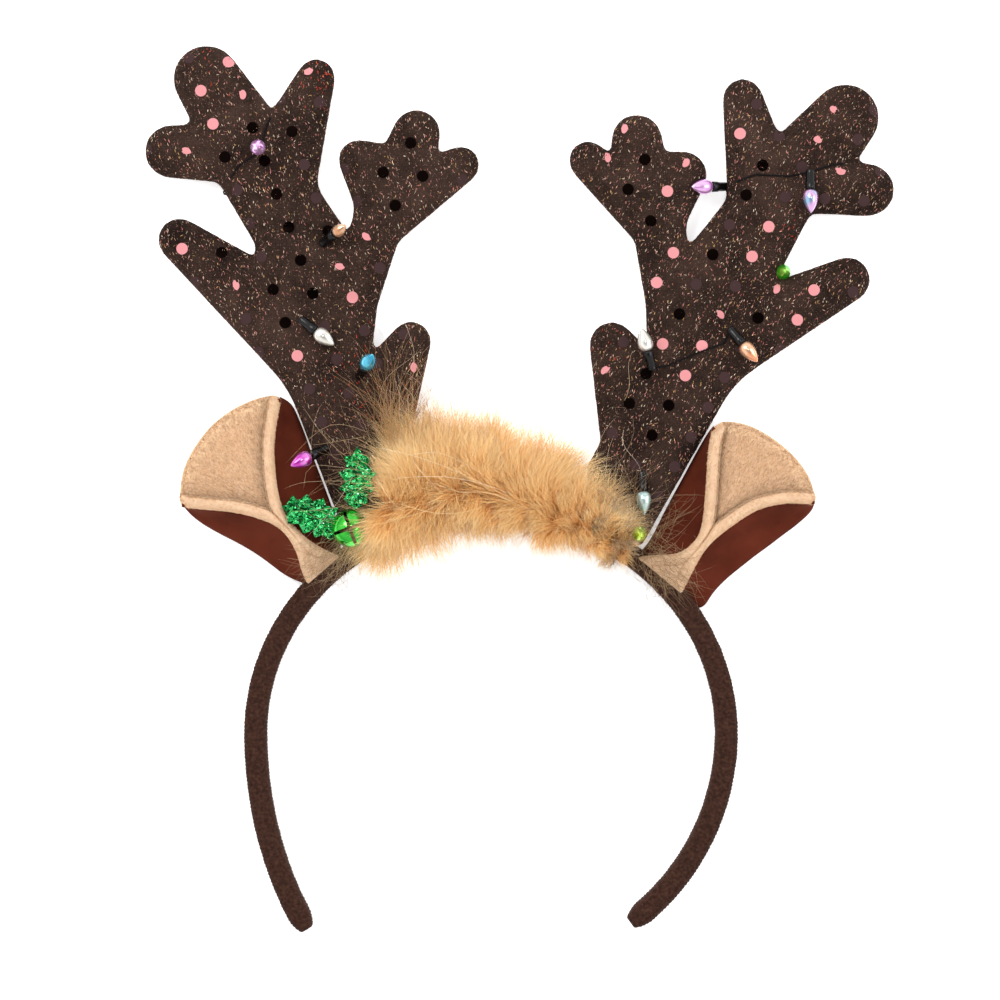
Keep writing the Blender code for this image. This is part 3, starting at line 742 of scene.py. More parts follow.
def lathe(profile: Sequence[tuple[float, float]], sides: int, place: Matrix) -> BMesh:
    """Turns a profile round the Z axis.

    Args:
        profile: Radius and height pairs in metres, starting and ending on the axis.
        sides: Number of sides.
        place: Where the turned shape goes.

    Returns:
        The closed mesh.
    """
    bm = bmesh.new()
    line = [bm.verts.new((radius, 0.0, height)) for radius, height in profile]
    for a, b in zip(line, line[1:]):
        bm.edges.new((a, b))
    bmesh.ops.spin(
        bm, geom=bm.verts[:] + bm.edges[:], axis=UP, cent=(0, 0, 0), steps=sides, angle=math.tau
    )
    bmesh.ops.remove_doubles(bm, verts=bm.verts, dist=0.002 * MM)
    bmesh.ops.transform(bm, matrix=place, verts=bm.verts)
    return bm


def surface_samples(piece: Object, count: int, rng: Generator) -> tuple[np.ndarray, np.ndarray]:
    """Spreads points evenly over a mesh.

    Args:
        piece: The object.
        count: How many points.
        rng: The source of random numbers.

    Returns:
        The points and the surface normals there.
    """
    mesh = piece.data
    mesh.calc_loop_triangles()
    corners = np.empty(len(mesh.loop_triangles) * 3, np.int32)
    mesh.loop_triangles.foreach_get("vertices", corners)
    places = np.empty(len(mesh.vertices) * 3, np.float32)
    mesh.vertices.foreach_get("co", places)
    a, b, c = places.reshape(-1, 3)[corners.reshape(-1, 3)].transpose(1, 0, 2).astype(float)
    normals = np.cross(b - a, c - a)
    areas = np.linalg.norm(normals, axis=1)
    pick = rng.choice(len(areas), count, p=areas / areas.sum())
    u, v = rng.random(count), rng.random(count)
    fold = u + v > 1
    u[fold], v[fold] = 1 - u[fold], 1 - v[fold]
    points = a[pick] + (b - a)[pick] * u[:, None] + (c - a)[pick] * v[:, None]
    return points, normals[pick] / areas[pick][:, None]


def tint_rows(colours: Iterable[str]) -> np.ndarray:
    """Returns linear colours, one row each."""
    return np.array([linear(colour) for colour in colours])


def unit(vectors: np.ndarray) -> np.ndarray:
    """Returns the vectors at length 1."""
    return vectors / (np.linalg.norm(vectors, axis=-1, keepdims=True) + 1e-12)


@dataclass
class Studio:
    """Camera, lamps, room and light table."""

    lens_mm: float = 100.0
    sensor_mm: float = 36.0
    view_width_mm: float = 280.0
    centre_mm: tuple[float, float, float] = (2.52, 3.36, 6.0)
    floor_mm: float = 3000.0
    # The room by height: pale walls, bright high up, under a darker ceiling that metal mirrors
    walls: tuple[tuple[float, str], ...] = (
        (0.0, "#c8c8c8"),
        (0.35, "#ffffff"),
        (0.78, "#f4f4f4"),
        (0.93, "#8c8c8c"),
        (1.0, "#6a6a6a"),
    )
    room_strength: float = 1.08
    table_gap_mm: float = 0.3

    def build(self) -> None:
        """Sets the camera straight above the headband, and the lamps round it."""
        scene = bpy.context.scene
        camera = bpy.data.cameras.new("camera")
        camera.lens = self.lens_mm
        camera.sensor_width = self.sensor_mm
        camera.clip_start = 0.01
        holder = bpy.data.objects.new("camera", camera)
        distance = self.view_width_mm * self.lens_mm / self.sensor_mm
        holder.location = Vector(self.centre_mm) * MM + UP * distance * MM
        scene.collection.objects.link(holder)
        scene.camera = holder
        scene.view_settings.view_transform = "Standard"
        self.lamp("key", (-0.55, 0.6, 1.1), 0.55, 8.0)
        self.lamp("fill", (0.9, 0.1, 0.8), 0.7, 4.0)
        self.lamp("glint", (0.12, 0.3, 1.3), 0.12, 1.3)
        world = bpy.data.worlds.new("studio")
        scene.world = world
        world.use_nodes = True
        tree = world.node_tree
        way = add_node(tree, "ShaderNodeTexCoord")
        parts = add_node(tree, "ShaderNodeSeparateXYZ", inputs={"Vector": way.outputs["Generated"]})
        walls = ramp(tree, parts.outputs["Z"], self.walls)
        background = tree.nodes["Background"]
        tree.links.new(walls, background.inputs["Color"])
        background.inputs["Strength"].default_value = self.room_strength
        half = self.floor_mm / 2 * MM
        corners = np.array([(-half, -half), (half, -half), (half, half), (-half, half)])
        low = np.full((4, 1), -self.table_gap_mm * MM)
        faces = np.array([(0, 1, 2), (0, 2, 3)])
        floor = mesh_object("light_table", np.hstack([corners, low]), faces, [TABLE])

    def lamp(self, name: str, place: tuple[float, float, float], size: float, power: float) -> None:
        """Adds a square soft light aimed at the headband.

        Args:
            name: The lamp's name.
            place: Where it stands, in metres.
            size: The side of its square.
            power: Its power in watts.
        """
        light = bpy.data.lights.new(name, "AREA")
        light.size = size
        light.energy = power
        holder = bpy.data.objects.new(name, light)
        holder.location = place
        holder.rotation_euler = Vector(place).to_track_quat("Z", "Y").to_euler()
        bpy.context.scene.collection.objects.link(holder)


@dataclass
class Band:
    """The sprung band: knit wound over it in fine ribs."""

    spread: float = 66.0 * MM
    rise: float = 62.0 * MM
    left_drop: float = 88.0 * MM
    right_drop: float = 66.0 * MM
    left_end: float = math.radians(218.6)
    right_end: float = math.radians(-53.6)
    width: float = 6.5 * MM
    depth: float = 8.5 * MM
    rib: float = 1.05 * MM
    rib_depth: float = 0.16 * MM
    samples_a_rib: int = 4
    sides: int = 16
    end_taper: float = 5.0 * MM
    end_pinch: float = 0.42
    # Size and depth of the winding's lumps
    lump_mm: Pair = (1.7, 0.1)
    fuzz: int = 5200
    fuzz_length_mm: Pair = (0.35, 1.0)
    fuzz_width: float = 0.045 * MM
    fuzz_lowest: float = 0.05 * MM
    fuzz_lean: float = 1.1
    fuzz_curl: float = 0.8

    def centre(self, angle: float) -> tuple[Vector, Vector]:
        """Gives the band's centreline.

        Args:
            angle: The place on the band, pi/2 at the crown.

        Returns:
            The point there and the outward direction.
        """
        if math.sin(angle) > 0:
            drop = self.rise
        else:
            drop = self.left_drop if math.cos(angle) < 0 else self.right_drop
        outward = Vector((drop * math.cos(angle), self.spread * math.sin(angle), 0.0))
        middle = Vector(
            (self.spread * math.cos(angle), drop * math.sin(angle) - self.rise, self.depth / 2)
        )
        return middle, outward.normalized()

    def stations(self) -> list[tuple[Vector, Vector, float]]:
        """Spaces places evenly along the band.

        Returns:
            The point, the outward direction and the length so far at each place.
        """
        fine = 6000
        span = self.left_end - self.right_end
        rows = [self.centre(self.right_end + span * i / fine) for i in range(fine + 1)]
        lengths = np.concatenate(
            [[0.0], np.cumsum([(b[0] - a[0]).length for a, b in zip(rows, rows[1:])])]
        )
        count = int(lengths[-1] / self.rib * self.samples_a_rib)
        wanted = np.linspace(0.0, lengths[-1], count)
        picks = np.searchsorted(lengths, wanted).clip(0, fine)
        return [(*rows[i], float(length)) for i, length in zip(picks, wanted)]

    def build(self) -> list[Object]:
        """Winds the knit round the band and closes both ends.

        Returns:
            The wound band and its loose fibres.
        """
        rows = self.stations()
        lump_size, lump_depth = self.lump_mm
        total = rows[-1][2]
        points = []
        for middle, outward, length in rows:
            edge = min(length, total - length)
            taper = 1.0 - self.end_pinch * max(0.0, 1.0 - edge / self.end_taper) ** 2
            wave = 0.5 - 0.5 * math.cos(math.tau * length / self.rib)
            wobble = noise.noise(Vector((length / (3 * MM), 0.0, 4.0)))
            for k in range(self.sides):
                turn = math.tau * (k + 0.5) / self.sides
                c, s = math.cos(turn), math.sin(turn)
                reach = (abs(c) ** 4 + abs(s) ** 4) ** -0.25
                lift = self.rib_depth * (wave + 0.35 * wobble)
                spot = Vector((length / (lump_size * MM), 3 * c, 3 * s))
                lift += lump_depth * MM * noise.noise(spot)
                out = c * reach * (self.width / 2 * taper - self.rib_depth + lift)
                up = s * reach * (self.depth / 2 * taper - self.rib_depth + lift)
                points.append(middle + outward * out + UP * up)
        faces = []
        sides = self.sides
        for i in range(len(rows) - 1):
            for k in range(sides):
                a, b = i * sides + k, i * sides + (k + 1) % sides
                faces += [(a, a + sides, b + sides), (a, b + sides, b)]
        for first, flip in ((0, False), ((len(rows) - 1) * sides, True)):
            for k in range(1, sides - 1):
                face = (first, first + k, first + k + 1)
                faces.append(face[::-1] if flip else face)
        band = mesh_object("band", np.array(points), np.array(faces), [BAND_KNIT])
        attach(band, BODY)
        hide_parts("headband")
        return [band, self.loose_fibres(band)]

    def loose_fibres(self, band: Object) -> Object:
        """Adds the short loose fibres of the brushed knit.

        Args:
            band: The wound band.

        Returns:
            The fibres.
        """
        rng = np.random.default_rng(11)
        roots, normals = surface_samples(band, self.fuzz, rng)
        drift = unit(rng.normal(size=roots.shape))
        way = unit(normals + self.fuzz_lean * drift)
        length = rng.uniform(*self.fuzz_length_mm, (self.fuzz, 1)) * MM
        bend = unit(way + self.fuzz_curl * unit(rng.normal(size=roots.shape)))
        paths = np.stack(
            [roots, roots + way * length * 0.5, roots + (way + bend) * length * 0.5], axis=1
        )
        paths[:, :, 2] = np.maximum(paths[:, :, 2], self.fuzz_lowest)
        shades = tint_rows(("#2c1b18", "#422b25", "#5a4138"))[rng.integers(0, 3, self.fuzz)]
        tints = np.repeat(shades[:, None], 3, axis=1)
        finish = Tinted("polyester_fibre", "#4a322b", 0.9)
        made = ribbon_mesh("band_fibres", paths, self.fuzz_width, tints, finish, rng)
        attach(made, BODY)
        return made


# Bright flecks in the thread's own hues with the share of each, painted as glints; the faint ones
# between them, the same thread painted unlit; and the red glint
THREAD_GLINT_HUES = {"#f0bca6": 0.28, "#fbe6c8": 0.2, "#e58f86": 0.2, "#e0b070": 0.17, "#c9766a": 0.15}
THREAD_UNLIT_TONES = ("#7d5c50", "#8d6d60", "#684b44", "#9a7a66")
PAINTED_RED_GLINT = "#d8431f"
# Shares of a dot's radius that are tried in turn, until its rim lies on the cloth
SEAM_SHARES = (1.0, 0.92, 0.84, 0.76, 0.68, 0.6, 0.5, 0.4, 0.25, 0.1)


@dataclass
class Antler:
    """A padded antler of dark knit with bright flecks and stamped foil dots."""

    side: str
    origin: Pair
    down: Pair
    across: Pair
    pink: frozenset[tuple[int, int]]
    black: frozenset[tuple[int, int]]
    seed: int
    folds: tuple[Curve, ...]
    worn: frozenset[tuple[int, int]] = frozenset()
    lay: float = 0.0
    voxel: float = 1.1 * MM
    pillow: float = 6.5 * MM
    thin: float = 0.66
    spread: float = 0.42 * MM
    fold_depth: float = 0.8 * MM
    fold_width: float = 1.5 * MM
    # Size and depth of the cloth's rumples, of its creases and of the puckers along the seam
    rumple_mm: Pair = (9.0, 0.25)
    crease_mm: Pair = (3.2, 0.12)
    pucker_mm: Pair = (1.6, 0.12)
    seam_step: float = 0.6 * MM
    seam_least: float = 0.05 * MM
    dot_radius: float = 1.62 * MM
    dot_sides: int = 20
    dot_stray_mm: float = 0.5
    dot_lift: float = 0.15 * MM
    # Rows and columns of dots on each side of the first one
    lattice: int = 16
    flecks: int = 17000
    bright_share: float = 0.3
    stray_share: float = 0.3
    # Half lengths and widths of the flecks, and their heights over the cloth
    bright_mm: Pair = (0.26, 0.62)
    faint_mm: Pair = (0.12, 0.3)
    fleck_width_mm: Pair = (0.06, 0.115)
    fleck_lift_mm: Pair = (0.02, 0.09)
    # Places where the flecks flash with a painted red glint: x, y and reach, in mm
    hot: tuple[tuple[float, float, float], ...] = ()

    def build(self) -> list[Object]:
        """Sews the antler, then adds its thread and its foil.

        Returns:
            The pad, its flecks and its dots.
        """
        name = f"antler_{self.side}"
        pad = self.pad(name)
        tree = BVHTree.FromObject(pad, bpy.context.evaluated_depsgraph_get())
        flecks = self.fleck_mesh(pad)
        dots = self.dot_mesh(tree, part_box(name))
        for piece in (pad, flecks, dots):
            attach(piece, BODY)
        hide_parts(name)
        return [pad, flecks, dots]

    def seam(self, bm: BMesh, middle: float, half: float) -> KDTree:
        """Finds the outline half-way up the solid, where the pad's two faces are sewn together.

        Args:
            bm: The solid.
            middle: The height of its middle.
            half: Half of its thickness.

        Returns:
            Closely spaced points of the outline, on the plan.
        """
        rim = KDTree(200000)
        count = 0
        for edge in bm.edges:
            a, b = (vertex.co for vertex in edge.verts)
            length = (a - b).length
            flat = abs(a.z - b.z) < self.seam_least
            if not flat or abs(a.z - middle) > 0.45 * half or length < self.seam_least:
                continue
            steps = max(1, math.ceil(length / self.seam_step))
            for k in range(steps + 1):
                point = a.lerp(b, k / steps)
                rim.insert((point.x, point.y, 0.0), count)
                count += 1
        rim.balance()
        return rim

    def wave(self, place: tuple[float, float, float], size_mm: float, depth_mm: float) -> float:
        """Returns the height of the cloth's waves of one size at a place."""
        return noise.noise(Vector(place) / (size_mm * MM)) * depth_mm * MM

    def pad(self, name: str) -> Object:
        """Swells the flat solid: full in the middle of each tine, thin along its seam.

        Args:
            name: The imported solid's name.

        Returns:
            The pad.
        """
        bm = solid_copy(bpy.data.objects[name])
        low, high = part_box(name)
        middle, half = (low.z + high.z) / 2, (high.z - low.z) / 2
        seam = self.seam(bm, middle, half)
        pad = object_from(bm, f"{name}_pad", ANTLER_KNIT)
        remesh = pad.modifiers.new("even", "REMESH")
        remesh.mode = "VOXEL"
        remesh.voxel_size = self.voxel
        applied(pad)
        bm = bmesh.new()
        bm.from_mesh(pad.data)
        for _ in range(3):
            bmesh.ops.smooth_vert(
                bm, verts=bm.verts, factor=0.5, use_axis_x=True, use_axis_y=True, use_axis_z=True
            )
        bm.normal_update()
        for vertex in bm.verts:
            vertex.co += Vector((vertex.normal.x, vertex.normal.y, 0.0)) * self.spread
        places = np.array([vertex.co for vertex in bm.verts])
        pinch = np.zeros(len(places))
        for fold in self.folds:
            away = distance_to(resampled(np.array(fold) * MM, 20, 2), places)
            pinch = np.maximum(pinch, np.exp(-((away / self.fold_width) ** 2)))
        for vertex, pinched in zip(bm.verts, pinch):
            x, y, z = vertex.co
            inside = seam.find((x, y, 0.0))[2]
            share = min(inside / self.pillow, 1.0)
            swell = self.thin + (1 - self.thin) * math.sqrt(1 - (1 - share) ** 2)
            rumple = self.wave((x, y, 0.0), *self.rumple_mm)
            rumple += self.wave((x, y, 9.0 * MM), *self.crease_mm)
            pucker = self.wave((x, y, 0.0), *self.pucker_mm) * (1 - share)
            front = (z - middle) / half
            rise = half * swell + rumple + pucker - self.fold_depth * float(pinched)
            vertex.co.z = middle + front * rise
        bm.to_mesh(pad.data)
        bm.free()
        pad.data.shade_smooth()
        return pad

    def fleck_mesh(self, pad: Object) -> Object:
        """Scatters the flecks of metallised thread, each a closed sliver, with painted glints on the
        bright ones.

        Args:
            pad: The antler's pad.

        Returns:
            The flecks.
        """
        rng = np.random.default_rng(self.seed)
        points, normals = surface_samples(pad, self.flecks, rng)
        bright = rng.random(self.flecks) < self.bright_share
        turn = self.lay + rng.normal(0.0, 0.32, self.flecks)
        stray = rng.random(self.flecks) < self.stray_share
        turn[stray] = rng.uniform(0.0, math.pi, stray.sum())
        way = np.stack([np.cos(turn), np.sin(turn), np.zeros_like(turn)], axis=1)
        way = unit(way - normals * (way * normals).sum(1, keepdims=True))
        side = np.cross(normals, way)
        length = rng.uniform(*self.bright_mm, self.flecks)
        length = np.where(bright, length, rng.uniform(*self.faint_mm, self.flecks))
        length = length[:, None] * MM
        width = rng.uniform(*self.fleck_width_mm, (self.flecks, 1)) * MM
        tilt = rng.normal(0.0, 0.05, (self.flecks, 1)) * MM
        low, top = (points + normals * lift * MM for lift in self.fleck_lift_mm)
        reach = way * length + normals * tilt
        corners = [top + reach, top - reach, low + side * width, low - side * width]
        corners = np.stack(corners, axis=1)
        pattern = np.array([(0, 2, 1), (0, 1, 3), (0, 3, 2), (1, 2, 3)])
        triangles = (pattern[None] + np.arange(self.flecks)[:, None, None] * 4).reshape(-1, 3)
        vivid, faint = tint_rows(THREAD_GLINT_HUES), tint_rows(THREAD_UNLIT_TONES)
        shades = np.where(
            bright[:, None],
            vivid[rng.choice(len(vivid), self.flecks, p=list(THREAD_GLINT_HUES.values()))],
            faint[rng.integers(0, len(faint), self.flecks)],
        )
        # Each fleck's painted glint or dark is made brighter or dimmer at random
        shades[:, :3] *= rng.uniform(0.6, 1.1, (self.flecks, 1))
        # Near the hot places some bright flecks get a painted red glint
        heat = np.zeros(self.flecks)
        for x, y, reach in self.hot:
            away = np.hypot(points[:, 0] - x * MM, points[:, 1] - y * MM) / (reach * MM)
            heat = np.maximum(heat, 0.75 * np.exp(-(away**2)))
        hot = bright & (rng.random(self.flecks) < heat)
        shades[hot] = linear(PAINTED_RED_GLINT)
        tints = np.repeat(shades[:, None], 4, axis=1).reshape(-1, 4)
        name = f"antler_{self.side}_flecks"
        return mesh_object(name, corners.reshape(-1, 3), triangles, [LUREX], tints, smooth=False)

    def dot_mesh(self, tree: BVHTree, box: tuple[Vector, Vector]) -> Object:
        """Stamps the foil dots on a slanted lattice, on both faces of the pad.

        Args:
            tree: The pad's surface.
            box: The antler's lowest and highest corners.

        Returns:
            The dots.
        """
        points: list[Vector] = []
        faces: list[tuple[int, int, int]] = []
        groups: list[int] = []
        kinds = list(Foil)
        start, down, across = (
            Vector((*pair, 0.0)) * MM for pair in (self.origin, self.down, self.across)
        )
        for front in (True, False):
            for row in range(-self.lattice, self.lattice + 1):
                for column in range(-self.lattice, self.lattice + 1):
                    stray = Vector((noise.noise((row, column, 1)), noise.noise((row, column, 5)), 0))
                    spot = start + down * row + across * column + stray * self.dot_stray_mm * MM
                    if not (box[0].x < spot.x < box[1].x and box[0].y < spot.y < box[1].y):
                        continue
                    kind = Foil.MAUVE
                    if (row, column) in self.pink:
                        kind = Foil.PINK
                    elif (row, column) in self.black:
                        kind = Foil.BLACK
                    torn = (row, column) in self.worn
                    if self.stamp(tree, spot, front, torn, points, faces):
                        groups += [kinds.index(kind)] * (len(faces) - len(groups))
        dots = mesh_object(
            f"antler_{self.side}_dots", np.array([tuple(p) for p in points]), np.array(faces),
            [kind.value for kind in kinds], groups=np.array(groups),
        )
        dots.data.set_sharp_from_angle(angle=math.radians(25))
        return dots

    def stamp(
        self, tree: BVHTree, spot: Vector, front: bool, torn: bool, points: list[Vector],
        faces: list[tuple[int, int, int]],
    ) -> bool:
        """Adds one dot that hugs the pad, cut off where it runs over the seam.

        Args:
            tree: The pad's surface.
            spot: The dot's centre, on the plan.
            front: Whether it is on the front.
            torn: Whether half of the foil has come off.
            points: The points so far.
            faces: The faces so far.

        Returns:
            Whether the dot lies on the pad.
        """
        way = -UP if front else UP
        lift = UP * (self.dot_lift if front else -self.dot_lift)

        def landing(x: float, y: float) -> Vector | None:
            """Returns the point of the pad's surface at a place on the plan, or None."""
            hit, normal, _, _ = tree.ray_cast(Vector((x, y, 0.0)) - way * 0.1, way)
            return hit if hit and abs(normal.z) > 0.3 else None

        centre = landing(spot.x, spot.y)
        if centre is None:
            return False
        ring = []
        for k in range(self.dot_sides):
            turn = math.tau * k / self.dot_sides
            whole = 1.0
            if torn:
                rough = noise.noise(Vector((2 * math.cos(turn), 2 * math.sin(turn), spot.x * 900)))
                whole = 0.62 + 0.8 * math.cos(turn - spot.y * 700) + 0.7 * rough
                whole = min(1.0, max(0.14, whole))
            for shrink in SEAM_SHARES:
                reach = self.dot_radius * shrink * whole
                found = landing(spot.x + reach * math.cos(turn), spot.y + reach * math.sin(turn))
                if found:
                    break
            ring.append(found or centre)
        first = len(points)
        points += [centre + lift] + [p + lift for p in ring]
        points += [centre - lift] + [p - lift for p in ring]
        sides = self.dot_sides
        for k in range(sides):
            a, b = first + 1 + k, first + 1 + (k + 1) % sides
            c, d = a + sides + 1, b + sides + 1
            quads = [(first, a, b), (first + sides + 1, d, c), (a, c, b), (b, c, d)]
            faces += quads if front else [q[::-1] for q in quads]
        return True


# The velour in the cup, on the rims, with painted shade in the groove beside them, and at the ear's far
# end
VELOUR_TONES = ("#e0ba93", "#e4c4a3", "#b0865c", "#e8c7a1")
# The nap's tones from dark to pale; each fibre goes from one to the next
NAP_TONES = ("#c49b74", "#d9b28a", "#e6c19c", "#f0d0ae", "#f7dec3")


@dataclass
class Ear:
    """A folded ear: a velour cup between two rolled rims, with microfibre flaps outside them."""

    side: str
    # Plan curves in mm, each from the ear's far end to the band
    inner_edge: Curve
    lower_edge: Curve
    inner_flap: Curve
    lower_flap: Curve
    # The far end's outline in mm, from the inner edge round to the lower one
    arc: Curve
    # Shares of the two edges' lengths at which the rims meet
    inner_waist: float
    lower_waist: float
    seed: int
    waist: float = 0.7
    rim: float = 3.1 * MM
    # Height of the rims' tops by share of the way to the band
    ridge: Curve = ((0.0, 10.2), (0.25, 11.6), (0.7, 12.4), (0.85, 11.0), (1.0, 9.2))
    groove: float = 3.4 * MM
    swell: float = 1.9 * MM
    swell_reach: float = 5.0 * MM
    # How far the rim's top rolls down to its outer and to its inner side
    roll_mm: Pair = (1.3, 0.7)
    # Start and width of the rim's inner wall, as shares of the rim
    wall: Pair = (0.93, 0.22)
    seam_depth: float = 0.8 * MM
    far_fall: float = 2.6 * MM
    # Size and depth of the ripples
    cup_ripple_mm: Pair = (6.0, 0.25)
    flap_ripple_mm: Pair = (9.0, 0.3)
    flap_low: float = 3.6 * MM
    # How far under the rims' tops the flaps start
    flap_drop: float = 2.0 * MM
    cloth: float = 1.1 * MM
    along: int = 110
    across: int = 90
    flap_across: int = 20
    nap: int = 15000
    nap_length: float = 0.95 * MM
    nap_width: float = 0.085 * MM
    shade_reach: float = 9.0 * MM
    deepest_shade: float = 0.72

    def edge(self, curve: Curve, waist: float) -> np.ndarray:
        """Spaces an edge's points so that both edges reach the waist at the same row.

        Args:
            curve: The edge, in mm.
            waist: The share of its length at the waist.

        Returns:
            One point a row, in metres.
        """
        line = resampled(curve, 400) * MM
        rows = np.linspace(0.0, 1.0, self.along)
        shares = np.interp(rows, (0.0, self.waist, 1.0), (0.0, waist, 1.0))
        return read_off(line, np.linspace(0.0, 1.0, len(line)), shares)

    def plan(self) -> np.ndarray:
        """Lays out the cup between its two edges.

        Returns:
            Its points on the plan, in rows from the far end to the band.
        """
        inner = self.edge(self.inner_edge, self.inner_waist)
        lower = self.edge(self.lower_edge, self.lower_waist)
        arc = resampled(self.arc, self.across) * MM
        u = np.linspace(0.0, 1.0, self.across)[None, :, None]
        v = np.linspace(0.0, 1.0, self.along)[:, None, None]
        ruled = inner[:, None] * (1 - u) + lower[:, None] * u
        bulge = arc - (arc[:1] + (arc[-1:] - arc[:1]) * u[0])
        return ruled + bulge[None] * (1 - v) ** 2

    def rows(self) -> np.ndarray:
        """Returns the share of the way to the band at each of the cup's points."""
        return np.repeat(np.linspace(0.0, 1.0, self.along), self.across)

    def stem(self) -> np.ndarray:
        """Returns how far each of the cup's points is into the stem, where the rims die out."""
        return ((self.rows() - self.waist + 0.02) / 0.12).clip(0.0, 1.0)

    def ridge_at(self, rows: np.ndarray) -> np.ndarray:
        """Returns the height of the rims' tops at shares of the way to the band."""
        share, height = np.array(self.ridge).T
        return np.interp(rows, share, height) * MM

    def relief(self, flat: np.ndarray) -> tuple[np.ndarray, np.ndarray, np.ndarray]:
        """Lifts the rims and sinks the cup.

        Args:
            flat: The cup's points on the plan, one row each.

        Returns:
            The points with their heights, the distance of each to the nearer edge, and to the
            far end's outline.
        """
        inner, lower = (resampled(c, 90) * MM for c in (self.inner_edge, self.lower_edge))
        to_inner, to_lower = distance_to(inner, flat), distance_to(lower, flat)
        near = np.minimum(to_inner, to_lower)
        rows = self.rows()
        top = self.ridge_at(rows)
        half = self.rim / 2
        outward, inward = self.roll_mm
        roll = np.where(near < half, outward * ((half - near) / half) ** 2, 0.0)
        roll = np.where(near >= half, inward * ((near - half) / half) ** 2, roll) * MM
        deep = 1 - np.exp(-np.maximum(near - self.rim, 0.0) / self.swell_reach)
        floor = (self.groove - self.swell * deep) * (1 - 0.8 * self.stem())
        start, width = self.wall
        step = ((near - self.rim * start) / (width * self.rim)).clip(0.0, 1.0)
        step = step * step * (3 - 2 * step)
        z = top - roll * (1 - step) - floor * step
        seam = np.exp(-(((to_inner - to_lower) / (0.55 * MM)) ** 2))
        z -= np.where(near < self.rim, self.seam_depth * seam, 0.0) * (1 - self.stem())
        outline = distance_to(resampled(self.arc, 90) * MM, flat)
        fall = self.far_fall * np.exp(-((outline / (1.3 * MM)) ** 2))
        z -= fall * np.where(rows < 0.5, 1.0, 0.0)
        z += ripple(np.column_stack([flat, z]), self.cup_ripple_mm, self.seed)
        return np.column_stack([flat, z]), near, outline

    def build(self) -> list[Object]:
        """Sews the ear.

        Returns:
            The cup, its nap and the flaps.
        """
        points, near, outline = self.relief(self.plan().reshape(-1, 2))
        in_cup, on_rim, groove_painted_shade, at_far_end = tint_rows(VELOUR_TONES)
        stem = self.stem()
        rim = (near < self.rim * 0.95) | (stem > 0.5)
        # Painted shade in a narrow band of the groove beside the rims
        dark = (np.abs(near - self.rim * 1.12) < 0.45 * MM) & (stem < 0.5)
        tints = np.repeat(in_cup[None], len(points), axis=0)
        tints[outline < 4 * MM] = at_far_end
        tints[dark & (outline > 2 * MM)] = groove_painted_shade
        tints[rim] = on_rim
        tints[:, :3] *= 1 + 0.07 * waves(points, 1.1 * MM, self.seed + 9.0)[:, None]
        faces = facing_up(points, grid_faces(self.along, self.across))
        name = f"ear_{self.side}"
        cup = mesh_object(f"{name}_velour", points, faces, [VELOUR_GROUND, SUEDE], tints)
        nap = self.nap_mesh(cup, near, rim)
        self.thicken(cup, self.cloth, 1)
        flaps = self.flaps(f"{name}_flaps")
        for piece, node, slot in (
            (cup, f"{name}_lining", "beige_velour"),
            (flaps, f"{name}_back", "russet_suede"),
        ):
            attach(piece, BODY)
            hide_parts(node)
        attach(nap, BODY)
        return [cup, nap, flaps]

    def thicken(self, piece: Object, depth: float, offset: int) -> None:
        """Args:
            piece: The cloth's front face.
            depth: The thickness.
            offset: How many finishes further the rear face's one is.
        """
        corners = [np.array(piece.data.vertices[i].co) for f in piece.data.polygons for i in f.vertices]
        a, b, c = np.array(corners).reshape(-1, 3, 3).transpose(1, 0, 2)
        solid = piece.modifiers.new("cloth", "SOLIDIFY")
        solid.thickness = depth
        solid.offset = -1
        solid.material_offset = offset
        applied(piece)

    def flaps(self, name: str) -> Object:
        """Makes the two flaps that fall away outside the rims.

        Args:
            name: The object's name.

        Returns:
            The flaps.
        """
        top = self.ridge_at(np.linspace(0.0, 1.0, self.along)) - self.flap_drop
        all_points, all_faces = [], []
        for edge, outer in ((self.inner_edge, self.inner_flap), (self.lower_edge, self.lower_flap)):
            near = resampled(edge, self.along) * MM
            far = resampled(outer, self.along) * MM
            t = np.linspace(0.0, 1.0, self.flap_across)[None, :, None]
            flat = near[:, None] * (1 - t) + far[:, None] * t
            low = np.minimum(self.flap_low, top)[:, None]
            fall = (1 - t[..., 0]) ** 1.7
            z = low + (top[:, None] - low) * fall
            z -= 0.9 * MM * (t[..., 0] - 0.88).clip(0.0, 0.12) / 0.12
            points = np.concatenate([flat, z[..., None]], axis=2).reshape(-1, 3)
            points[:, 2] += ripple(points, self.flap_ripple_mm, self.seed + 4.0)
            faces = facing_up(points, grid_faces(self.along, self.flap_across))
            all_faces.append(faces + sum(len(p) for p in all_points))
            all_points.append(points)
        flaps = mesh_object(name, np.concatenate(all_points), np.concatenate(all_faces), [SUEDE])
        self.thicken(flaps, self.cloth * 0.8, 0)
        return flaps

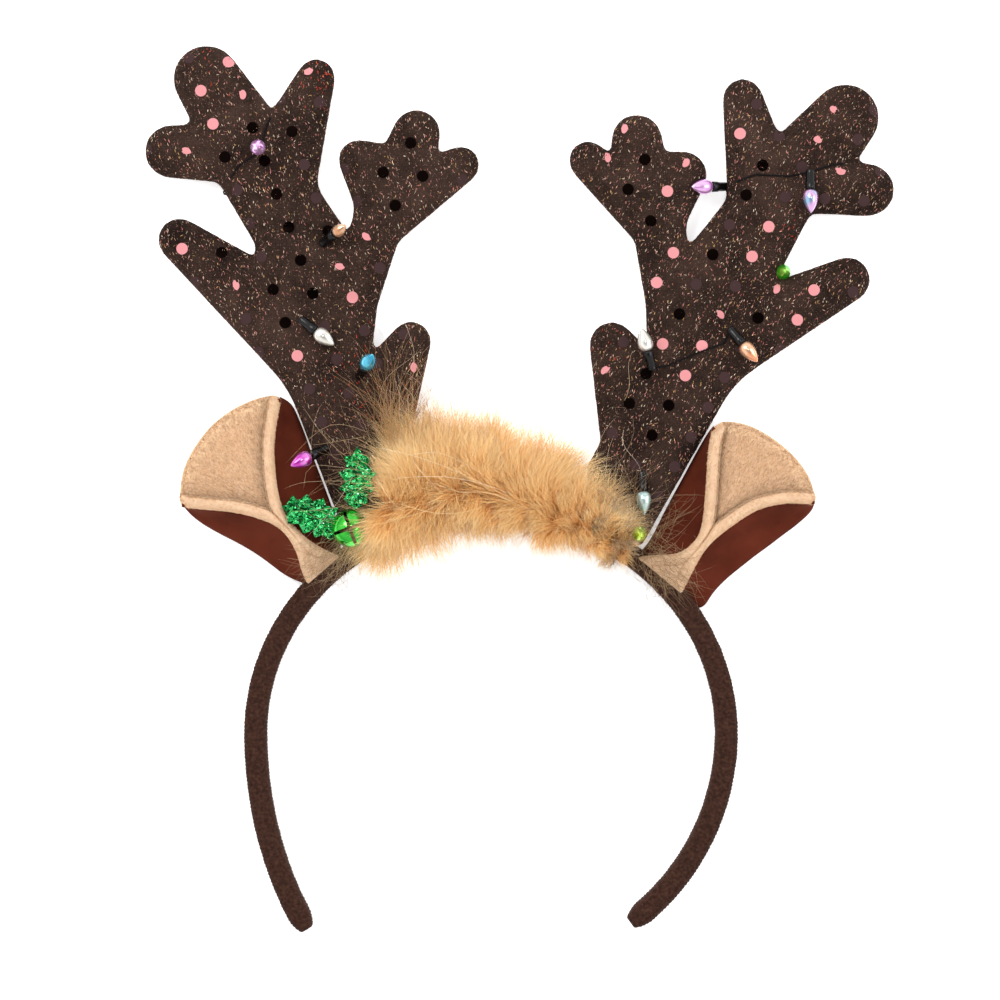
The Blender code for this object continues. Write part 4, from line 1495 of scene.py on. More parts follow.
    def nap_mesh(self, cup: Object, near: np.ndarray, rim: np.ndarray) -> Object:
        """Grows the nap, brushed from the far end to the band.

        Args:
            cup: The cup's front face.
            near: The distance of each of its points to the nearer edge.
            rim: Whether each of its points is on a rim.

        Returns:
            The nap.
        """
        rng = np.random.default_rng(self.seed)
        points, normals = surface_samples(cup, self.nap, rng)
        tree = KDTree(len(near))
        for index, vertex in enumerate(cup.data.vertices):
            tree.insert(vertex.co, index)
        tree.balance()
        nearest = np.array([tree.find(p)[1] for p in points])
        on_rim, close = rim[nearest], near[nearest]
        goal = resampled(self.inner_edge, 200)[int(200 * self.inner_waist)] * MM
        goal = np.array([*goal, 11.0 * MM])
        swirl = np.stack([waves(points, 6 * MM, self.seed + k) for k in (1, 2, 3)], axis=1)
        along = unit(goal - points) + 0.3 * swirl + rng.normal(0.0, 0.2, points.shape)
        along = unit(along - normals * (along * normals).sum(1, keepdims=True))
        length = rng.uniform(0.6, 1.2, (self.nap, 1)) * self.nap_length
        length *= np.where(on_rim, 0.5, 1.0)[:, None]
        bend = points + (normals * 0.32 + along * 0.45) * length
        ends = bend + (normals * 0.05 + along * 0.6) * length
        paths = np.stack([points, bend, ends], axis=1)
        tones = tint_rows(NAP_TONES)
        pick = rng.integers(0, 4, self.nap)
        pick = np.where(on_rim, rng.integers(1, 3, self.nap), pick)
        light = (close / self.shade_reach).clip(0.0, 1.0)
        light = self.deepest_shade + (1 - self.deepest_shade) * light
        shade = np.where(on_rim, 1.0, light)
        tints = np.stack([tones[pick], tones[pick], tones[pick + 1]], axis=1)
        tints[:, :, :3] *= shade[:, None, None]
        name = f"ear_{self.side}_nap"
        return ribbon_mesh(name, paths, self.nap_width, tints, VELOUR_NAP, rng)


# The down's tones from root to tip, and those of the duller tufts at the trim's ends
DOWN_TONES = ("#d48242", "#e3a058", "#ecb770", "#f3cd90", "#f9e4b6")
DULL_DOWN_TONES = ("#8a6a48", "#9a7c58", "#ac906c", "#bfa684", "#d4c0a2")
# Bunches of loose hairs. Columns: x, y, spread of the roots (mm), way, spread of the ways (degrees),
# shortest and longest (mm), how many, root and tip colour
LOOSE_BUNCHES = (
    (-27.0, 19.0, 1.6, 100.0, 8.0, 10.0, 34.0, 76, "#d8a970", "#b08c66"),
    (-20.5, 25.0, 2.2, 74.0, 26.0, 5.0, 13.0, 64, "#b98656", "#94704e"),
    (-28.0, 22.0, 2.2, 120.0, 34.0, 6.0, 16.0, 30, "#bb9262", "#94785a"),
    (-30.0, 10.0, 3.0, 168.0, 26.0, 8.0, 22.0, 40, "#dcb684", "#b89c78"),
    (-32.0, -4.0, 3.0, 205.0, 22.0, 6.0, 18.0, 60, "#dcb98a", "#bfa27c"),
    (-43.0, -12.0, 3.2, 222.0, 30.0, 5.0, 13.0, 110, "#a88e6c", "#8a7258"),
    (36.0, -1.0, 3.0, 84.0, 44.0, 6.0, 18.0, 90, "#a98a66", "#8d745c"),
    (43.0, -7.0, 4.0, 30.0, 60.0, 5.0, 16.0, 70, "#a98a66", "#8f7a60"),
    (46.0, -15.0, 4.0, 310.0, 34.0, 5.0, 13.0, 130, "#a08462", "#8a7258"),
    (-14.0, 18.0, 9.0, 92.0, 14.0, 9.0, 20.0, 80, "#f0cfa2", "#f3dcc0"),
    (12.0, 14.0, 10.0, 92.0, 16.0, 8.0, 17.0, 90, "#f0cfa2", "#f3dcc0"),
    (-18.0, -5.0, 10.0, 262.0, 18.0, 8.0, 26.0, 46, "#eed6b8", "#f1e2d0"),
    (10.0, -4.0, 13.0, 270.0, 16.0, 6.0, 22.0, 50, "#eed6b8", "#f1e2d0"),
)


@dataclass
class Fur:
    """The marabou trim: tufts of down round a spine, with long loose hairs."""

    # Columns: x, y, length of the down above the spine, length below it (mm), way of the down
    # above and below (degrees)
    spine: tuple[tuple[float, ...], ...] = (
        (-27.2, 2.0, 14.0, 22.0, 97.0, 230.0),
        (-25.0, 3.2, 20.0, 24.0, 95.0, 234.0),
        (-20.5, 4.6, 26.0, 22.5, 94.0, 238.0),
        (-13.0, 5.6, 28.0, 19.5, 96.0, 246.0),
        (-5.0, 5.5, 27.0, 15.5, 98.0, 255.0),
        (4.0, 4.2, 25.5, 13.5, 99.0, 262.0),
        (13.0, 2.2, 24.0, 12.0, 98.0, 268.0),
        (21.0, -0.8, 20.5, 9.5, 92.0, 274.0),
        (29.0, -4.5, 15.0, 8.5, 78.0, 282.0),
        (35.5, -7.6, 11.0, 7.5, 45.0, 312.0),
    )
    root_height: float = 6.5 * MM
    layer_height: float = 8.0 * MM
    tufts: int = 840
    barbs: int = 68
    pieces: int = 3
    barb_width: float = 0.062 * MM
    # Share of the tufts over the upper side, and the least and most that they bow up
    upper_share: float = 0.64
    bow_mm: Pair = (3.0, 11.0)
    lowest: float = 1.2 * MM
    highest: float = 28.2 * MM
    # The core's shape; its half width is a share of the down's length
    core_height: float = 11.0 * MM
    core_rise: float = 4.0 * MM
    core_fall: float = 6.0 * MM
    core_share: float = 0.42
    core_lump_mm: Pair = (2.5, 0.9)
    hair_radius: float = 0.045 * MM
    hair_lowest: float = 8.8 * MM

    def spine_at(self, share: np.ndarray) -> np.ndarray:
        """Reads the spine's table.

        Args:
            share: Places from 0, the left end, to 1.

        Returns:
            A row of the table, interpolated, for each place.
        """
        table = np.array(self.spine)
        steps = np.linspace(0.0, 1.0, len(table))
        return read_off(table, steps, share)

    def build(self) -> list[Object]:
        """Makes the trim from the core outwards.

        Returns:
            The core, the down and the loose hairs.
        """
        core = self.core()
        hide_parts("fur_trim")
        rng = np.random.default_rng(5)
        made = [core, *(self.down(index, rng) for index in range(self.pieces))]
        made.append(self.loose_hairs(rng))
        for piece in made:
            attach(piece, BODY)
        return made

    def core(self) -> Object:
        """Makes the dense lumpy roll that the down stands on.

        Returns:
            The roll.
        """
        stations, sides = 60, 28
        rings = []
        for i in range(stations):
            x, y, above, below, _, _ = self.spine_at(np.array(i / (stations - 1))) * MM
            fade = math.sin(math.pi * (i + 0.5) / stations) ** 0.4
            turn = np.linspace(0.0, math.tau, sides, endpoint=False)
            c, s = np.cos(turn), np.sin(turn)
            reach = np.where(c > 0, above, below) * self.core_share * fade
            rise = np.where(s > 0, self.core_rise, self.core_fall) * fade
            level = self.core_height + s * rise
            ring = np.stack([np.full(sides, x), y + c * reach, level], axis=1)
            lump = ripple(ring, self.core_lump_mm)[:, None]
            rings.append(ring + lump * np.stack([0 * c, c, s], axis=1))
        bm = bmesh.new()
        loops = [[bm.verts.new(point) for point in ring] for ring in rings]
        for near, far in zip(loops, loops[1:]):
            for k in range(sides):
                j = (k + 1) % sides
                bm.faces.new((near[k], near[j], far[j], far[k]))
        bm.faces.new(loops[0])
        bm.faces.new(loops[-1])
        return object_from(bm, "fur_core", DOWN_ROOTS)

    def down(self, index: int, rng: Generator) -> Object:
        """Grows one share of the tufts, each bowed up off the spine and over to its side.

        Args:
            index: Which share.
            rng: The source of random numbers.

        Returns:
            The down.
        """
        count, each = self.tufts // self.pieces, self.barbs
        share = rng.random(count)
        x, y, above, below, way_up, way_down = self.spine_at(share).T
        wander = waves(np.stack([x, x * 0, x * 0], axis=1), 9.0, 5.0) * 3.2
        x, y = x + rng.normal(0.0, 0.8, count), y + wander + rng.normal(0.0, 1.1, count)
        up = rng.random(count) < self.upper_share
        layer = rng.random(count) ** 1.15
        reach = np.where(up, above, below) * MM
        flow = waves(np.stack([x, y, layer * 9], axis=1), 7.0, 2.0)
        loose = np.where(x < -18, 13.0, 26.0)
        turn = np.where(up, way_up, way_down) + 1.9 * loose * flow
        turn = turn + loose * rng.normal(0.0, 1.0, count)
        over = (layer > 0.62) & (rng.random(count) < 0.55) & (x > -20)
        turn = np.where(over, 158 + 38 * rng.normal(0.0, 1.0, count), turn)
        turn = np.radians(turn)
        length = reach * (1.0 - 0.52 * layer) * rng.uniform(0.8, 1.04, count)
        start = reach * 0.3 * (1 - layer)
        root = np.stack(
            [
                x * MM + np.cos(turn) * start, y * MM + np.sin(turn) * start,
                self.root_height + self.layer_height * layer,
            ],
            axis=1,
        )
        length = length - start * 0.8
        least, most = self.bow_mm
        bow = (least + (most - least) * layer) * rng.uniform(0.6, 1.15, count) * MM
        bend = rng.normal(0.0, 0.26, count)
        total = count * each
        root, length, turn, bow, bend, up, layer = (
            np.repeat(a, each, axis=0) for a in (root, length, turn, bow, bend, up, layer)
        )
        root = root + rng.normal(0.0, 0.9 * MM, (total, 3))
        turn = turn + rng.normal(0.0, 0.24, total)
        length = length * rng.uniform(0.5, 1.08, total)
        bend = bend + rng.normal(0.0, 0.16, total)
        bow = bow * rng.uniform(0.55, 1.2, total)
        forward = np.stack([np.cos(turn), np.sin(turn), np.zeros(total)], axis=1)
        side = np.stack([-np.sin(turn), np.cos(turn), np.zeros(total)], axis=1)
        steps = np.array((0.0, 0.28, 0.55, 0.8, 1.0))
        paths = np.stack(
            [
                root
                + length[:, None] * (forward * t + side * (bend * t * t)[:, None])
                + np.outer(bow * (2.5 * t - 1.8 * t * t), (0.0, 0.0, 1.0))
                for t in steps
            ],
            axis=1,
        )
        paths[:, 1:] += rng.normal(0.0, 0.3 * MM, (total, 4, 3))
        paths[:, :, 2] = paths[:, :, 2].clip(self.lowest, self.highest)
        base, grey = tint_rows(DOWN_TONES), tint_rows(DULL_DOWN_TONES)
        ends = np.repeat(np.abs(share - 0.48) * 2, each)
        ends = np.where(np.repeat(x, each) < 0, ends - 0.25, ends)
        dull = np.repeat(rng.random(count), each) < (ends - 0.62) * 1.1
        tints = np.where(dull[:, None, None], grey[None], base[None])
        tone = np.repeat(rng.uniform(0.9, 1.12, count), each) * rng.uniform(0.92, 1.1, total)
        tints[:, :, :3] *= tone[:, None, None]
        name = f"fur_down_{index + 1}"
        return ribbon_mesh(name, paths, self.barb_width, tints, DOWN, rng)

    def loose_hairs(self, rng: Generator) -> Object:
        """Adds the long hairs that stray over the antlers, the ears and the table.

        Args:
            rng: The source of random numbers.

        Returns:
            The hairs.
        """
        steps = np.linspace(0.0, 1.0, 9)
        paths, tints, sizes = [], [], []
        for x, y, spread, way, fan, short, long, count, dark, pale in LOOSE_BUNCHES:
            root = np.array([x, y, 17.0]) * MM + rng.normal(0, spread * MM, (count, 3))
            root[:, 2] = rng.uniform(10.0, 17.0, count) * MM
            turn = np.radians(rng.normal(way, fan, count))
            rise = rng.uniform(-0.1, 0.2, count)
            forward = unit(np.stack([np.cos(turn), np.sin(turn), rise], axis=1))
            side = np.stack([-np.sin(turn), np.cos(turn), np.zeros(count)], axis=1)
            size = rng.uniform(short, long, (count, 1)) * MM
            bow = rng.normal(0.0, 0.36, (count, 1))
            wave = rng.normal(0.0, 0.05, (count, 1))
            dip = rng.uniform(0.0, 0.2, (count, 1))
            bunch = [
                root
                + size * (forward * t + side * (bow * t * t + wave * math.sin(6 * t)))
                - size * dip * t**3 * np.array([0, 0, 1])
                for t in steps
            ]
            bunch = np.stack(bunch, axis=1)
            bunch[:, :, 2] = np.maximum(bunch[:, :, 2], self.hair_lowest)
            paths.append(bunch)
            ends = tint_rows((dark, pale))
            blend = ends[0] + (ends[1] - ends[0]) * steps[:, None]
            tints.append(np.repeat(blend[None], count, axis=0))
            sizes += [self.hair_radius] * count
        for height, colour, radius, line in GUARD_HAIRS:
            route = resampled(line, len(steps)) * MM
            lift = np.sin(steps * math.pi) * 1.6 * MM + height * MM
            paths.append(np.column_stack([route, lift])[None])
            tints.append(np.repeat(tint_rows((colour,)), len(steps), axis=0)[None])
            sizes.append(radius * MM)
        lines = np.concatenate(paths)
        taper = np.linspace(1.0, 0.55, len(steps) - 1)[None]
        widths = np.array(sizes)[:, None] * taper
        return strand_mesh("fur_loose_hairs", lines, widths, np.concatenate(tints), DOWN)


# Profiles turned round the lights' axis: share of the radius, share of the length
SOCKET_PROFILE: Curve = (
    (0.0, 0.0), (0.5, 0.0), (0.8, 0.03), (0.84, 0.1), (0.8, 0.16), (0.86, 0.2), (0.88, 0.62),
    (0.99, 0.66), (1.0, 0.94), (0.95, 1.0), (0.7, 1.0), (0.0, 1.0),
)
BULB_PROFILE: Curve = (
    (0.0, 0.0), (0.5, 0.0), (0.66, 0.03), (0.85, 0.1), (0.96, 0.2), (1.0, 0.32), (0.98, 0.42),
    (0.88, 0.55), (0.7, 0.69), (0.48, 0.82), (0.27, 0.92), (0.12, 0.975), (0.0, 1.0),
)


@dataclass
class Light:
    """One small lamp: a black socket and a metallised pointed bulb."""

    name: str
    bulb: Bulb
    # How far it has slipped from its place, in mm
    slip: tuple[float, float, float] = (0.0, 0.0, 0.0)
    socket_length: float = 5.5 * MM
    socket_radius: float = 1.5 * MM
    bulb_length: float = 6.5 * MM
    bulb_radius: float = 2.15 * MM
    gap: float = 0.25 * MM
    sides: int = 24

    def frame(self) -> tuple[Vector, Matrix]:
        """Reads the light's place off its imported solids.

        Returns:
            The socket's rear end and the turn that points +Z along the lamp.
        """
        middles = []
        for part in ("socket", "bulb"):
            corners = [v.co for v in bpy.data.objects[f"{part}_{self.name}"].data.vertices]
            middles.append(sum(corners, Vector()) / len(corners))
        way = (middles[1] - middles[0]).normalized()
        turn = way.to_track_quat("Z", "Y").to_matrix().to_4x4()
        rear = middles[0] - way * self.socket_length / 2
        return rear + Vector(self.slip) * MM, turn

    def build(self) -> list[Object]:
        """Turns both parts where their solids are, or where they slipped to.

        Returns:
            The socket and the bulb.
        """
        rear, turn = self.frame()
        place = Matrix.Translation(rear) @ turn
        seat = place @ Matrix.Translation((0, 0, self.socket_length + self.gap))
        socket = (SOCKET_PROFILE, self.socket_radius, self.socket_length, place)
        bulb = (BULB_PROFILE, self.bulb_radius, self.bulb_length, seat)
        made = []
        for part, (profile, radius, length, start), finish, slot in (
            ("socket", socket, SOCKET_PLASTIC, "black_plastic"),
            ("bulb", bulb, self.bulb.finish(), self.bulb.slot()),
        ):
            line = [(share * radius, height * length) for share, height in profile]
            turned = lathe(line, self.sides, start)
            piece = object_from(turned, f"light_{self.name}_{part}", finish)
            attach(piece, BODY)
            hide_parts(f"{part}_{self.name}")
            made.append(piece)
        return made


# The glitter's tones with the share of each: partly the glitter's own green, partly painted reflection
# from unlit dark to a near-white glint
FLAKE_TONES = {"#0a6a30": 0.35, "#17b052": 0.35, "#46e084": 0.2, "#d4ffe2": 0.1}


@dataclass
class Leaf:
    """A holly leaf of crinkled film over a wire-stiff vein, with glitter on it."""

    node: str
    seed: int
    # Plan curves in mm: the outline from the stalk round the tip and back, and the vein
    outline: Curve
    vein: Curve
    height: float
    flakes: int = 700
    rings: int = 16
    edge_points: int = 132
    vein_points: int = 60
    fold: float = 0.28
    rib_pace: float = 26.0
    rib_reach: float = 1.5 * MM
    rib_slope: float = 0.3
    # Size and depth of the film's crumples
    fine_crumple_mm: Pair = (1.3, 0.55)
    broad_crumple_mm: Pair = (4.0, 0.5)
    film: float = 0.14 * MM
    flake_mm: Pair = (0.08, 0.22)

    def build(self) -> list[Object]:
        """Folds the film along its vein and crumples it.

        Returns:
            The leaf and its glitter.
        """
        count = self.edge_points
        edge = np.array(self.outline) * MM
        length = lengths_along(edge)
        edge = read_off(edge, length, np.linspace(0.0, length[-1], count))
        vein = resampled(self.vein, self.vein_points) * MM
        share = 1 - np.abs(np.linspace(-1.0, 1.0, count))
        middle = read_off(vein, np.linspace(0.0, 1.0, self.vein_points), share)
        t = np.linspace(0.0, 1.0, self.rings)[:, None, None]
        flat = (middle[None] * (1 - t) + edge[None] * t).reshape(-1, 2)
        away = distance_to(vein, flat)
        z = self.height * MM + away * self.fold
        rib = np.sin(np.tile(share, self.rings) * self.rib_pace)
        ribs = rib * np.minimum(away, self.rib_reach) * self.rib_slope
        place = np.column_stack([flat, np.zeros(len(flat))])
        z += ribs + ripple(place, self.fine_crumple_mm, self.seed)
        z += ripple(place, self.broad_crumple_mm, self.seed + 3.0)
        points = np.column_stack([flat, z])
        faces = facing_up(points, grid_faces(self.rings, count))
        leaf = mesh_object(f"{self.node}_film", points, faces, [HOLLY_FILM], smooth=False)
        glitter = self.glitter(leaf)
        solid = leaf.modifiers.new("film", "SOLIDIFY")
        solid.thickness = self.film
        solid.offset = -1
        applied(leaf)
        leaf.data.shade_flat()
        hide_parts(self.node)
        for piece in (leaf, glitter):
            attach(piece, BODY)
        return [leaf, glitter]

    def glitter(self, leaf: Object) -> Object:
        """Scatters flakes of glitter over the leaf.

        Args:
            leaf: The leaf's film.

        Returns:
            The flakes.
        """
        rng = np.random.default_rng(self.seed)
        points, normals = surface_samples(leaf, self.flakes, rng)
        tilt = unit(normals + rng.normal(0, 0.4, points.shape))
        side = unit(np.cross(tilt, rng.normal(size=points.shape)))
        other = np.cross(tilt, side)
        size = rng.uniform(*self.flake_mm, (self.flakes, 1)) * MM
        lifted = points + normals * 0.09 * MM
        corners = np.stack(
            [
                lifted + side * size, lifted + (other * 0.87 - side * 0.5) * size,
                lifted - (other * 0.87 + side * 0.5) * size, lifted - tilt * size * 0.4,
            ],
            axis=1,
        )
        pattern = np.array([(0, 1, 2), (0, 3, 1), (1, 3, 2), (2, 3, 0)])
        faces = (pattern[None] + np.arange(self.flakes)[:, None, None] * 4).reshape(-1, 3)
        shades = tint_rows(FLAKE_TONES)
        picks = rng.choice(len(shades), self.flakes, p=list(FLAKE_TONES.values()))
        return mesh_object(
            f"{self.node}_glitter", corners.reshape(-1, 3), faces, [GLITTER],
            np.repeat(shades[picks], 4, axis=0), smooth=False,
        )


@dataclass
class Cord:
    """A light string: two thin wires twisted together, wound round an antler."""

    side: str
    # Rows: front, back or edge, then x and y in mm; or a light's name, then two unused zeros
    route: tuple[tuple[str, float, float], ...]
    wire: float = 0.16 * MM
    pair: float = 0.155 * MM
    pitch: float = 1.7 * MM
    step: float = 0.3 * MM
    sides: int = 5
    # Height of the string at the antler's edge
    middle: float = 4.6 * MM
    drape_step: float = 0.8 * MM
    route_count: int = 2000
    # How far off the cloth the string's middle lies, as a share of its half thickness
    standoff: float = 0.9

    def route_points(self, lights: dict[str, Light], tree: BVHTree) -> np.ndarray:
        """Lays the route on the antler.

        Args:
            lights: The lights by name.
            tree: The antler's surface.

        Returns:
            The route's points.
        """
        rows: list[tuple[Vector, str]] = []
        for place, x, y in self.route:
            if place in lights:
                rear, turn = lights[place].frame()
                inward = turn @ Vector((0.0, 0.0, 0.5 * MM))
                rows.append((rear + inward, "light"))
            else:
                rows.append((Vector((x * MM, y * MM, self.middle)), place))
        line = []
        for (near, kind), (far, after) in zip(rows, rows[1:]):
            count = max(2, int((far.xy - near.xy).length / self.drape_step))
            for k in range(count):
                t = k / count
                point = near.lerp(far, t)
                ends = (kind if t < 0.5 else after, kind, after)
                if "edge" in ends[1:] and ends[0] == "edge":
                    line.append(point)
                    continue
                way = 1 if "back" in ends else -1
                start = Vector((point.x, point.y, -way * 0.1))
                hit = tree.ray_cast(start, Vector((0.0, 0.0, way)))[0]
                if hit:
                    level = hit.z - way * (self.wire + self.pair) * self.standoff
                    # Beside a light the string keeps to it for a third of the way
                    hold = max(0.0, 1 - 3 * t) if kind == "light" else 0.0
                    if after == "light":
                        hold = max(hold, 3 * t - 2)
                    point.z = level * (1 - hold) + point.z * hold
                line.append(point)
        line.append(rows[-1][0])
        return resampled([tuple(point) for point in line], self.route_count)

    def build(self, lights: dict[str, Light], tree: BVHTree) -> list[Object]:
        """Twists the two wires along the route.

        Args:
            lights: The lights by name.
            tree: The antler's surface.

        Returns:
            The string, alone in a list.
        """
        line = self.route_points(lights, tree)
        length = lengths_along(line)
        wanted = np.arange(0.0, length[-1], self.step)
        line = read_off(line, length, wanted)
        along = unit(np.gradient(line, axis=0))
        side = unit(np.cross(along, np.array([0.12, 0.07, 1.0])))
        other = np.cross(along, side)
        all_points, all_faces = [], []
        for wire in range(2):
            phase = math.tau * wanted / self.pitch + wire * math.pi
            c, s = np.cos(phase)[:, None], np.sin(phase)[:, None]
            middle = line + (side * c + other * s) * self.pair
            ring = []
            for k in range(self.sides):
                turn = math.tau * k / self.sides
                ring.append(middle + (side * math.cos(turn) + other * math.sin(turn)) * self.wire)
            points = np.stack(ring + ring[:1], axis=1).reshape(-1, 3)
            faces = grid_faces(len(wanted), self.sides + 1)
            all_faces.append(faces + sum(len(p) for p in all_points))
            all_points.append(points)
        node = f"light_string_{self.side}"
        string = mesh_object(
            f"{node}_wires", np.concatenate(all_points), np.concatenate(all_faces), [WIRE_PVC]
        )
        bm = bmesh.new()
        bm.from_mesh(string.data)
        bmesh.ops.remove_doubles(bm, verts=bm.verts, dist=0.001 * MM)
        bmesh.ops.recalc_face_normals(bm, faces=bm.faces)
        bm.to_mesh(string.data)
        bm.free()
        string.data.shade_smooth()
        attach(string, BODY)
        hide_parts(node)
        return [string]


@dataclass
class JingleBell:
    """A round bell of lacquered steel with a crossed slit."""

    wall: float = 0.45 * MM
    slit: float = 0.95 * MM
    slit_length: float = 9.7 * MM
    slit_turn: float = math.radians(20)
    # Shares of the bell's radius
    slit_height: float = 0.72
    pellet: float = 0.34

    def build(self) -> list[Object]:
        """Hollows the bell and cuts its slits.

        Returns:
            The bell and the pellet inside.
        """
        low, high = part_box("jingle_bell")
        centre, radius = (low + high) / 2, (high.x - low.x) / 2
        bm = bmesh.new()
        bmesh.ops.create_uvsphere(bm, u_segments=56, v_segments=36, radius=radius)
        bell = object_from(bm, "jingle_bell_shell", BELL_METAL)
        bell.location = centre
        bm = bmesh.new()
        bmesh.ops.create_uvsphere(bm, u_segments=32, v_segments=20, radius=radius - self.wall)
        cutters = [object_from(bm, "cutter_hollow", BELL_HOLLOW_PAINTED_SHADE)]
        for k in range(2):
            bm = bmesh.new()
            size = (self.slit_length, self.slit, radius)
            bmesh.ops.create_cube(bm, size=1.0, matrix=Matrix.Diagonal((*size, 1.0)))
            bmesh.ops.bevel(
                bm, geom=bm.edges[:], offset=self.slit * 0.3, segments=2, affect="EDGES"
            )
            place = Matrix.Rotation(self.slit_turn + k * math.pi / 2, 4, "Z")
            place = place @ Matrix.Translation((0, 0, radius * self.slit_height))
            bmesh.ops.transform(bm, matrix=place, verts=bm.verts)
            cutters.append(object_from(bm, f"cutter_slit_{k}", BELL_HOLLOW_PAINTED_SHADE))
        for cutter in cutters:
            cutter.location = centre
            cut = bell.modifiers.new(cutter.name, "BOOLEAN")
            cut.operation = "DIFFERENCE"
            cut.solver = "EXACT"
            cut.material_mode = "TRANSFER"
            cut.object = cutter
        applied(bell)
        bell.data.set_sharp_from_angle(angle=math.radians(35))
        for cutter in cutters:
            bpy.data.objects.remove(cutter, do_unlink=True)
        bm = bmesh.new()
        bmesh.ops.create_icosphere(bm, subdivisions=3, radius=radius * self.pellet)
        bmesh.ops.translate(bm, verts=bm.verts, vec=centre - UP * radius * 0.5)
        pellet = object_from(bm, "jingle_bell_pellet", BELL_HOLLOW_PAINTED_SHADE)
        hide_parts("jingle_bell")
        for piece in (bell, pellet):
            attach(piece, BODY)
        return [bell, pellet]


# Single hairs that lie across: height and colour, half of the thickness (mm), plan curve (mm)
GUARD_HAIRS: tuple[tuple[float, str, float, Curve], ...] = (
    (23.5, "#f9e3bc", 0.075, ((-29.8, 17.5), (-19.7, 15.2), (-8.5, 11.0), (6.8, 3.1))),
    (24.0, "#f9e3bc", 0.07, ((-22.1, 15.7), (-14.4, 16.9), (-6.2, 12.8), (-0.3, 9.3))),
    (24.4, "#fbe8c6", 0.08, ((-25.6, 9.3), (-18.6, 9.9), (-9.7, 9.6), (-0.9, 7.5), (8.0, 4.0))),
    (24.0, "#f7dba6", 0.08, ((-24.5, 2.2), (-15.6, -0.5), (-6.8, -0.2), (-0.3, 2.2))),
    (23.0, "#f7dba6", 0.075, ((-28.6, -2.2), (-20.3, -0.8), (-13.9, 2.2), (-8.5, 6.3))),
    (23.6, "#f9e3bc", 0.06, ((-30.9, 8.7), (-26.8, 2.2), (-22.1, -0.8))),
    (24.6, "#fbe8c6", 0.06, ((-21.5, 14.6), (-19.7, 11.6), (-12.1, 4.0))),
    (23.6, "#f7dba6", 0.065, ((-3.8, 5.7), (2.1, 4.8), (10.9, 0.4))),
    (24.4, "#f9e3bc", 0.06, ((-14.4, 7.5), (-7.4, 5.1), (-2.7, 5.7))),
    (10.0, "#a8927a", 0.055, ((30.9, 9.9), (37.4, 15.2), (40.9, 24.6), (36.2, 30.8), (30.3, 27.2))),
    (14.0, "#c9ac86", 0.07, ((-32.4, 10.7), (-39.4, 14.8), (-45.5, 19.7), (-52.9, 30.4))),
    (14.5, "#c4a882", 0.055, ((-34.8, 20.9), (-41.4, 19.7), (-48.8, 18.5), (-50.4, 18.9))),
    (14.8, "#c4a882", 0.06, ((-34.4, 22.2), (-40.6, 24.6), (-46.8, 23.8), (-57.0, 13.3))),
    (15.4, "#cbb08c", 0.06, ((-36.1, 11.5), (-43.5, 12.7), (-50.9, 13.3), (-51.9, 5.7))),
    (15.8, "#d0b592", 0.065, ((-38.5, 8.6), (-46.8, 8.6), (-52.9, 8.2), (-57.4, 6.4))),
    (14.0, "#b89e7c", 0.05, ((-49.8, 14.0), (-49.8, 19.7), (-48.4, 27.5), (-46.3, 30.8))),
    (17.5, "#cbb08c", 0.06, ((-40.6, 1.6), (-48.8, 0.4), (-55.8, 0.2))),
    (15.0, "#d0b592", 0.05, ((-45.0, -13.0), (-50.5, -13.6), (-57.0, -12.6))),
)
LEFT_ANTLER = Antler(
    side="left",
    origin=(-66.65, 107.4),
    down=(3.37, -9.26),
    across=(11.05, -1.07),
    pink=frozenset(
        {(-2, 0), (-1, -1), (-1, 0), (0, -1), (1, -2), (-2, 2), (4, -3), (3, 2), (4, 1), (5, 1)}
        | {(7, -1), (5, -2), (7, 2)}
    ),
    black=frozenset(
        {(0, 0), (0, 1), (1, 0), (2, 0), (3, 0), (4, 0), (5, 0), (4, -2), (3, 1), (1, 3)}
        | {(1, 4), (0, 4), (2, 3), (1, -1), (5, -1), (6, -1)}
    ),
    seed=21,
    folds=(
        ((-60.6, 114.5), (-63.0, 107.0), (-66.0, 102.5), (-70.5, 97.0), (-75.0, 89.5)),
        ((-68.5, 79.3), (-60.0, 80.0), (-53.0, 79.0), (-46.0, 76.0)),
        ((-53.0, 66.0), (-55.0, 60.0), (-46.0, 60.0), (-31.0, 58.3)),
        ((-60.0, 38.0), (-50.0, 39.5), (-42.0, 40.5), (-35.0, 39.5)),
    ),
    worn=frozenset({(-1, 0), (1, -2), (-2, 2), (3, 2), (4, 1), (5, -2), (7, 2)}),
    lay=math.radians(104),
    hot=(
        (-76.0, 131.0, 7.0), (-47.0, 124.0, 7.0), (-47.5, 120.0, 5.0), (-28.0, 30.0, 9.0),
        (-36.0, 36.0, 8.0),
    ),
)
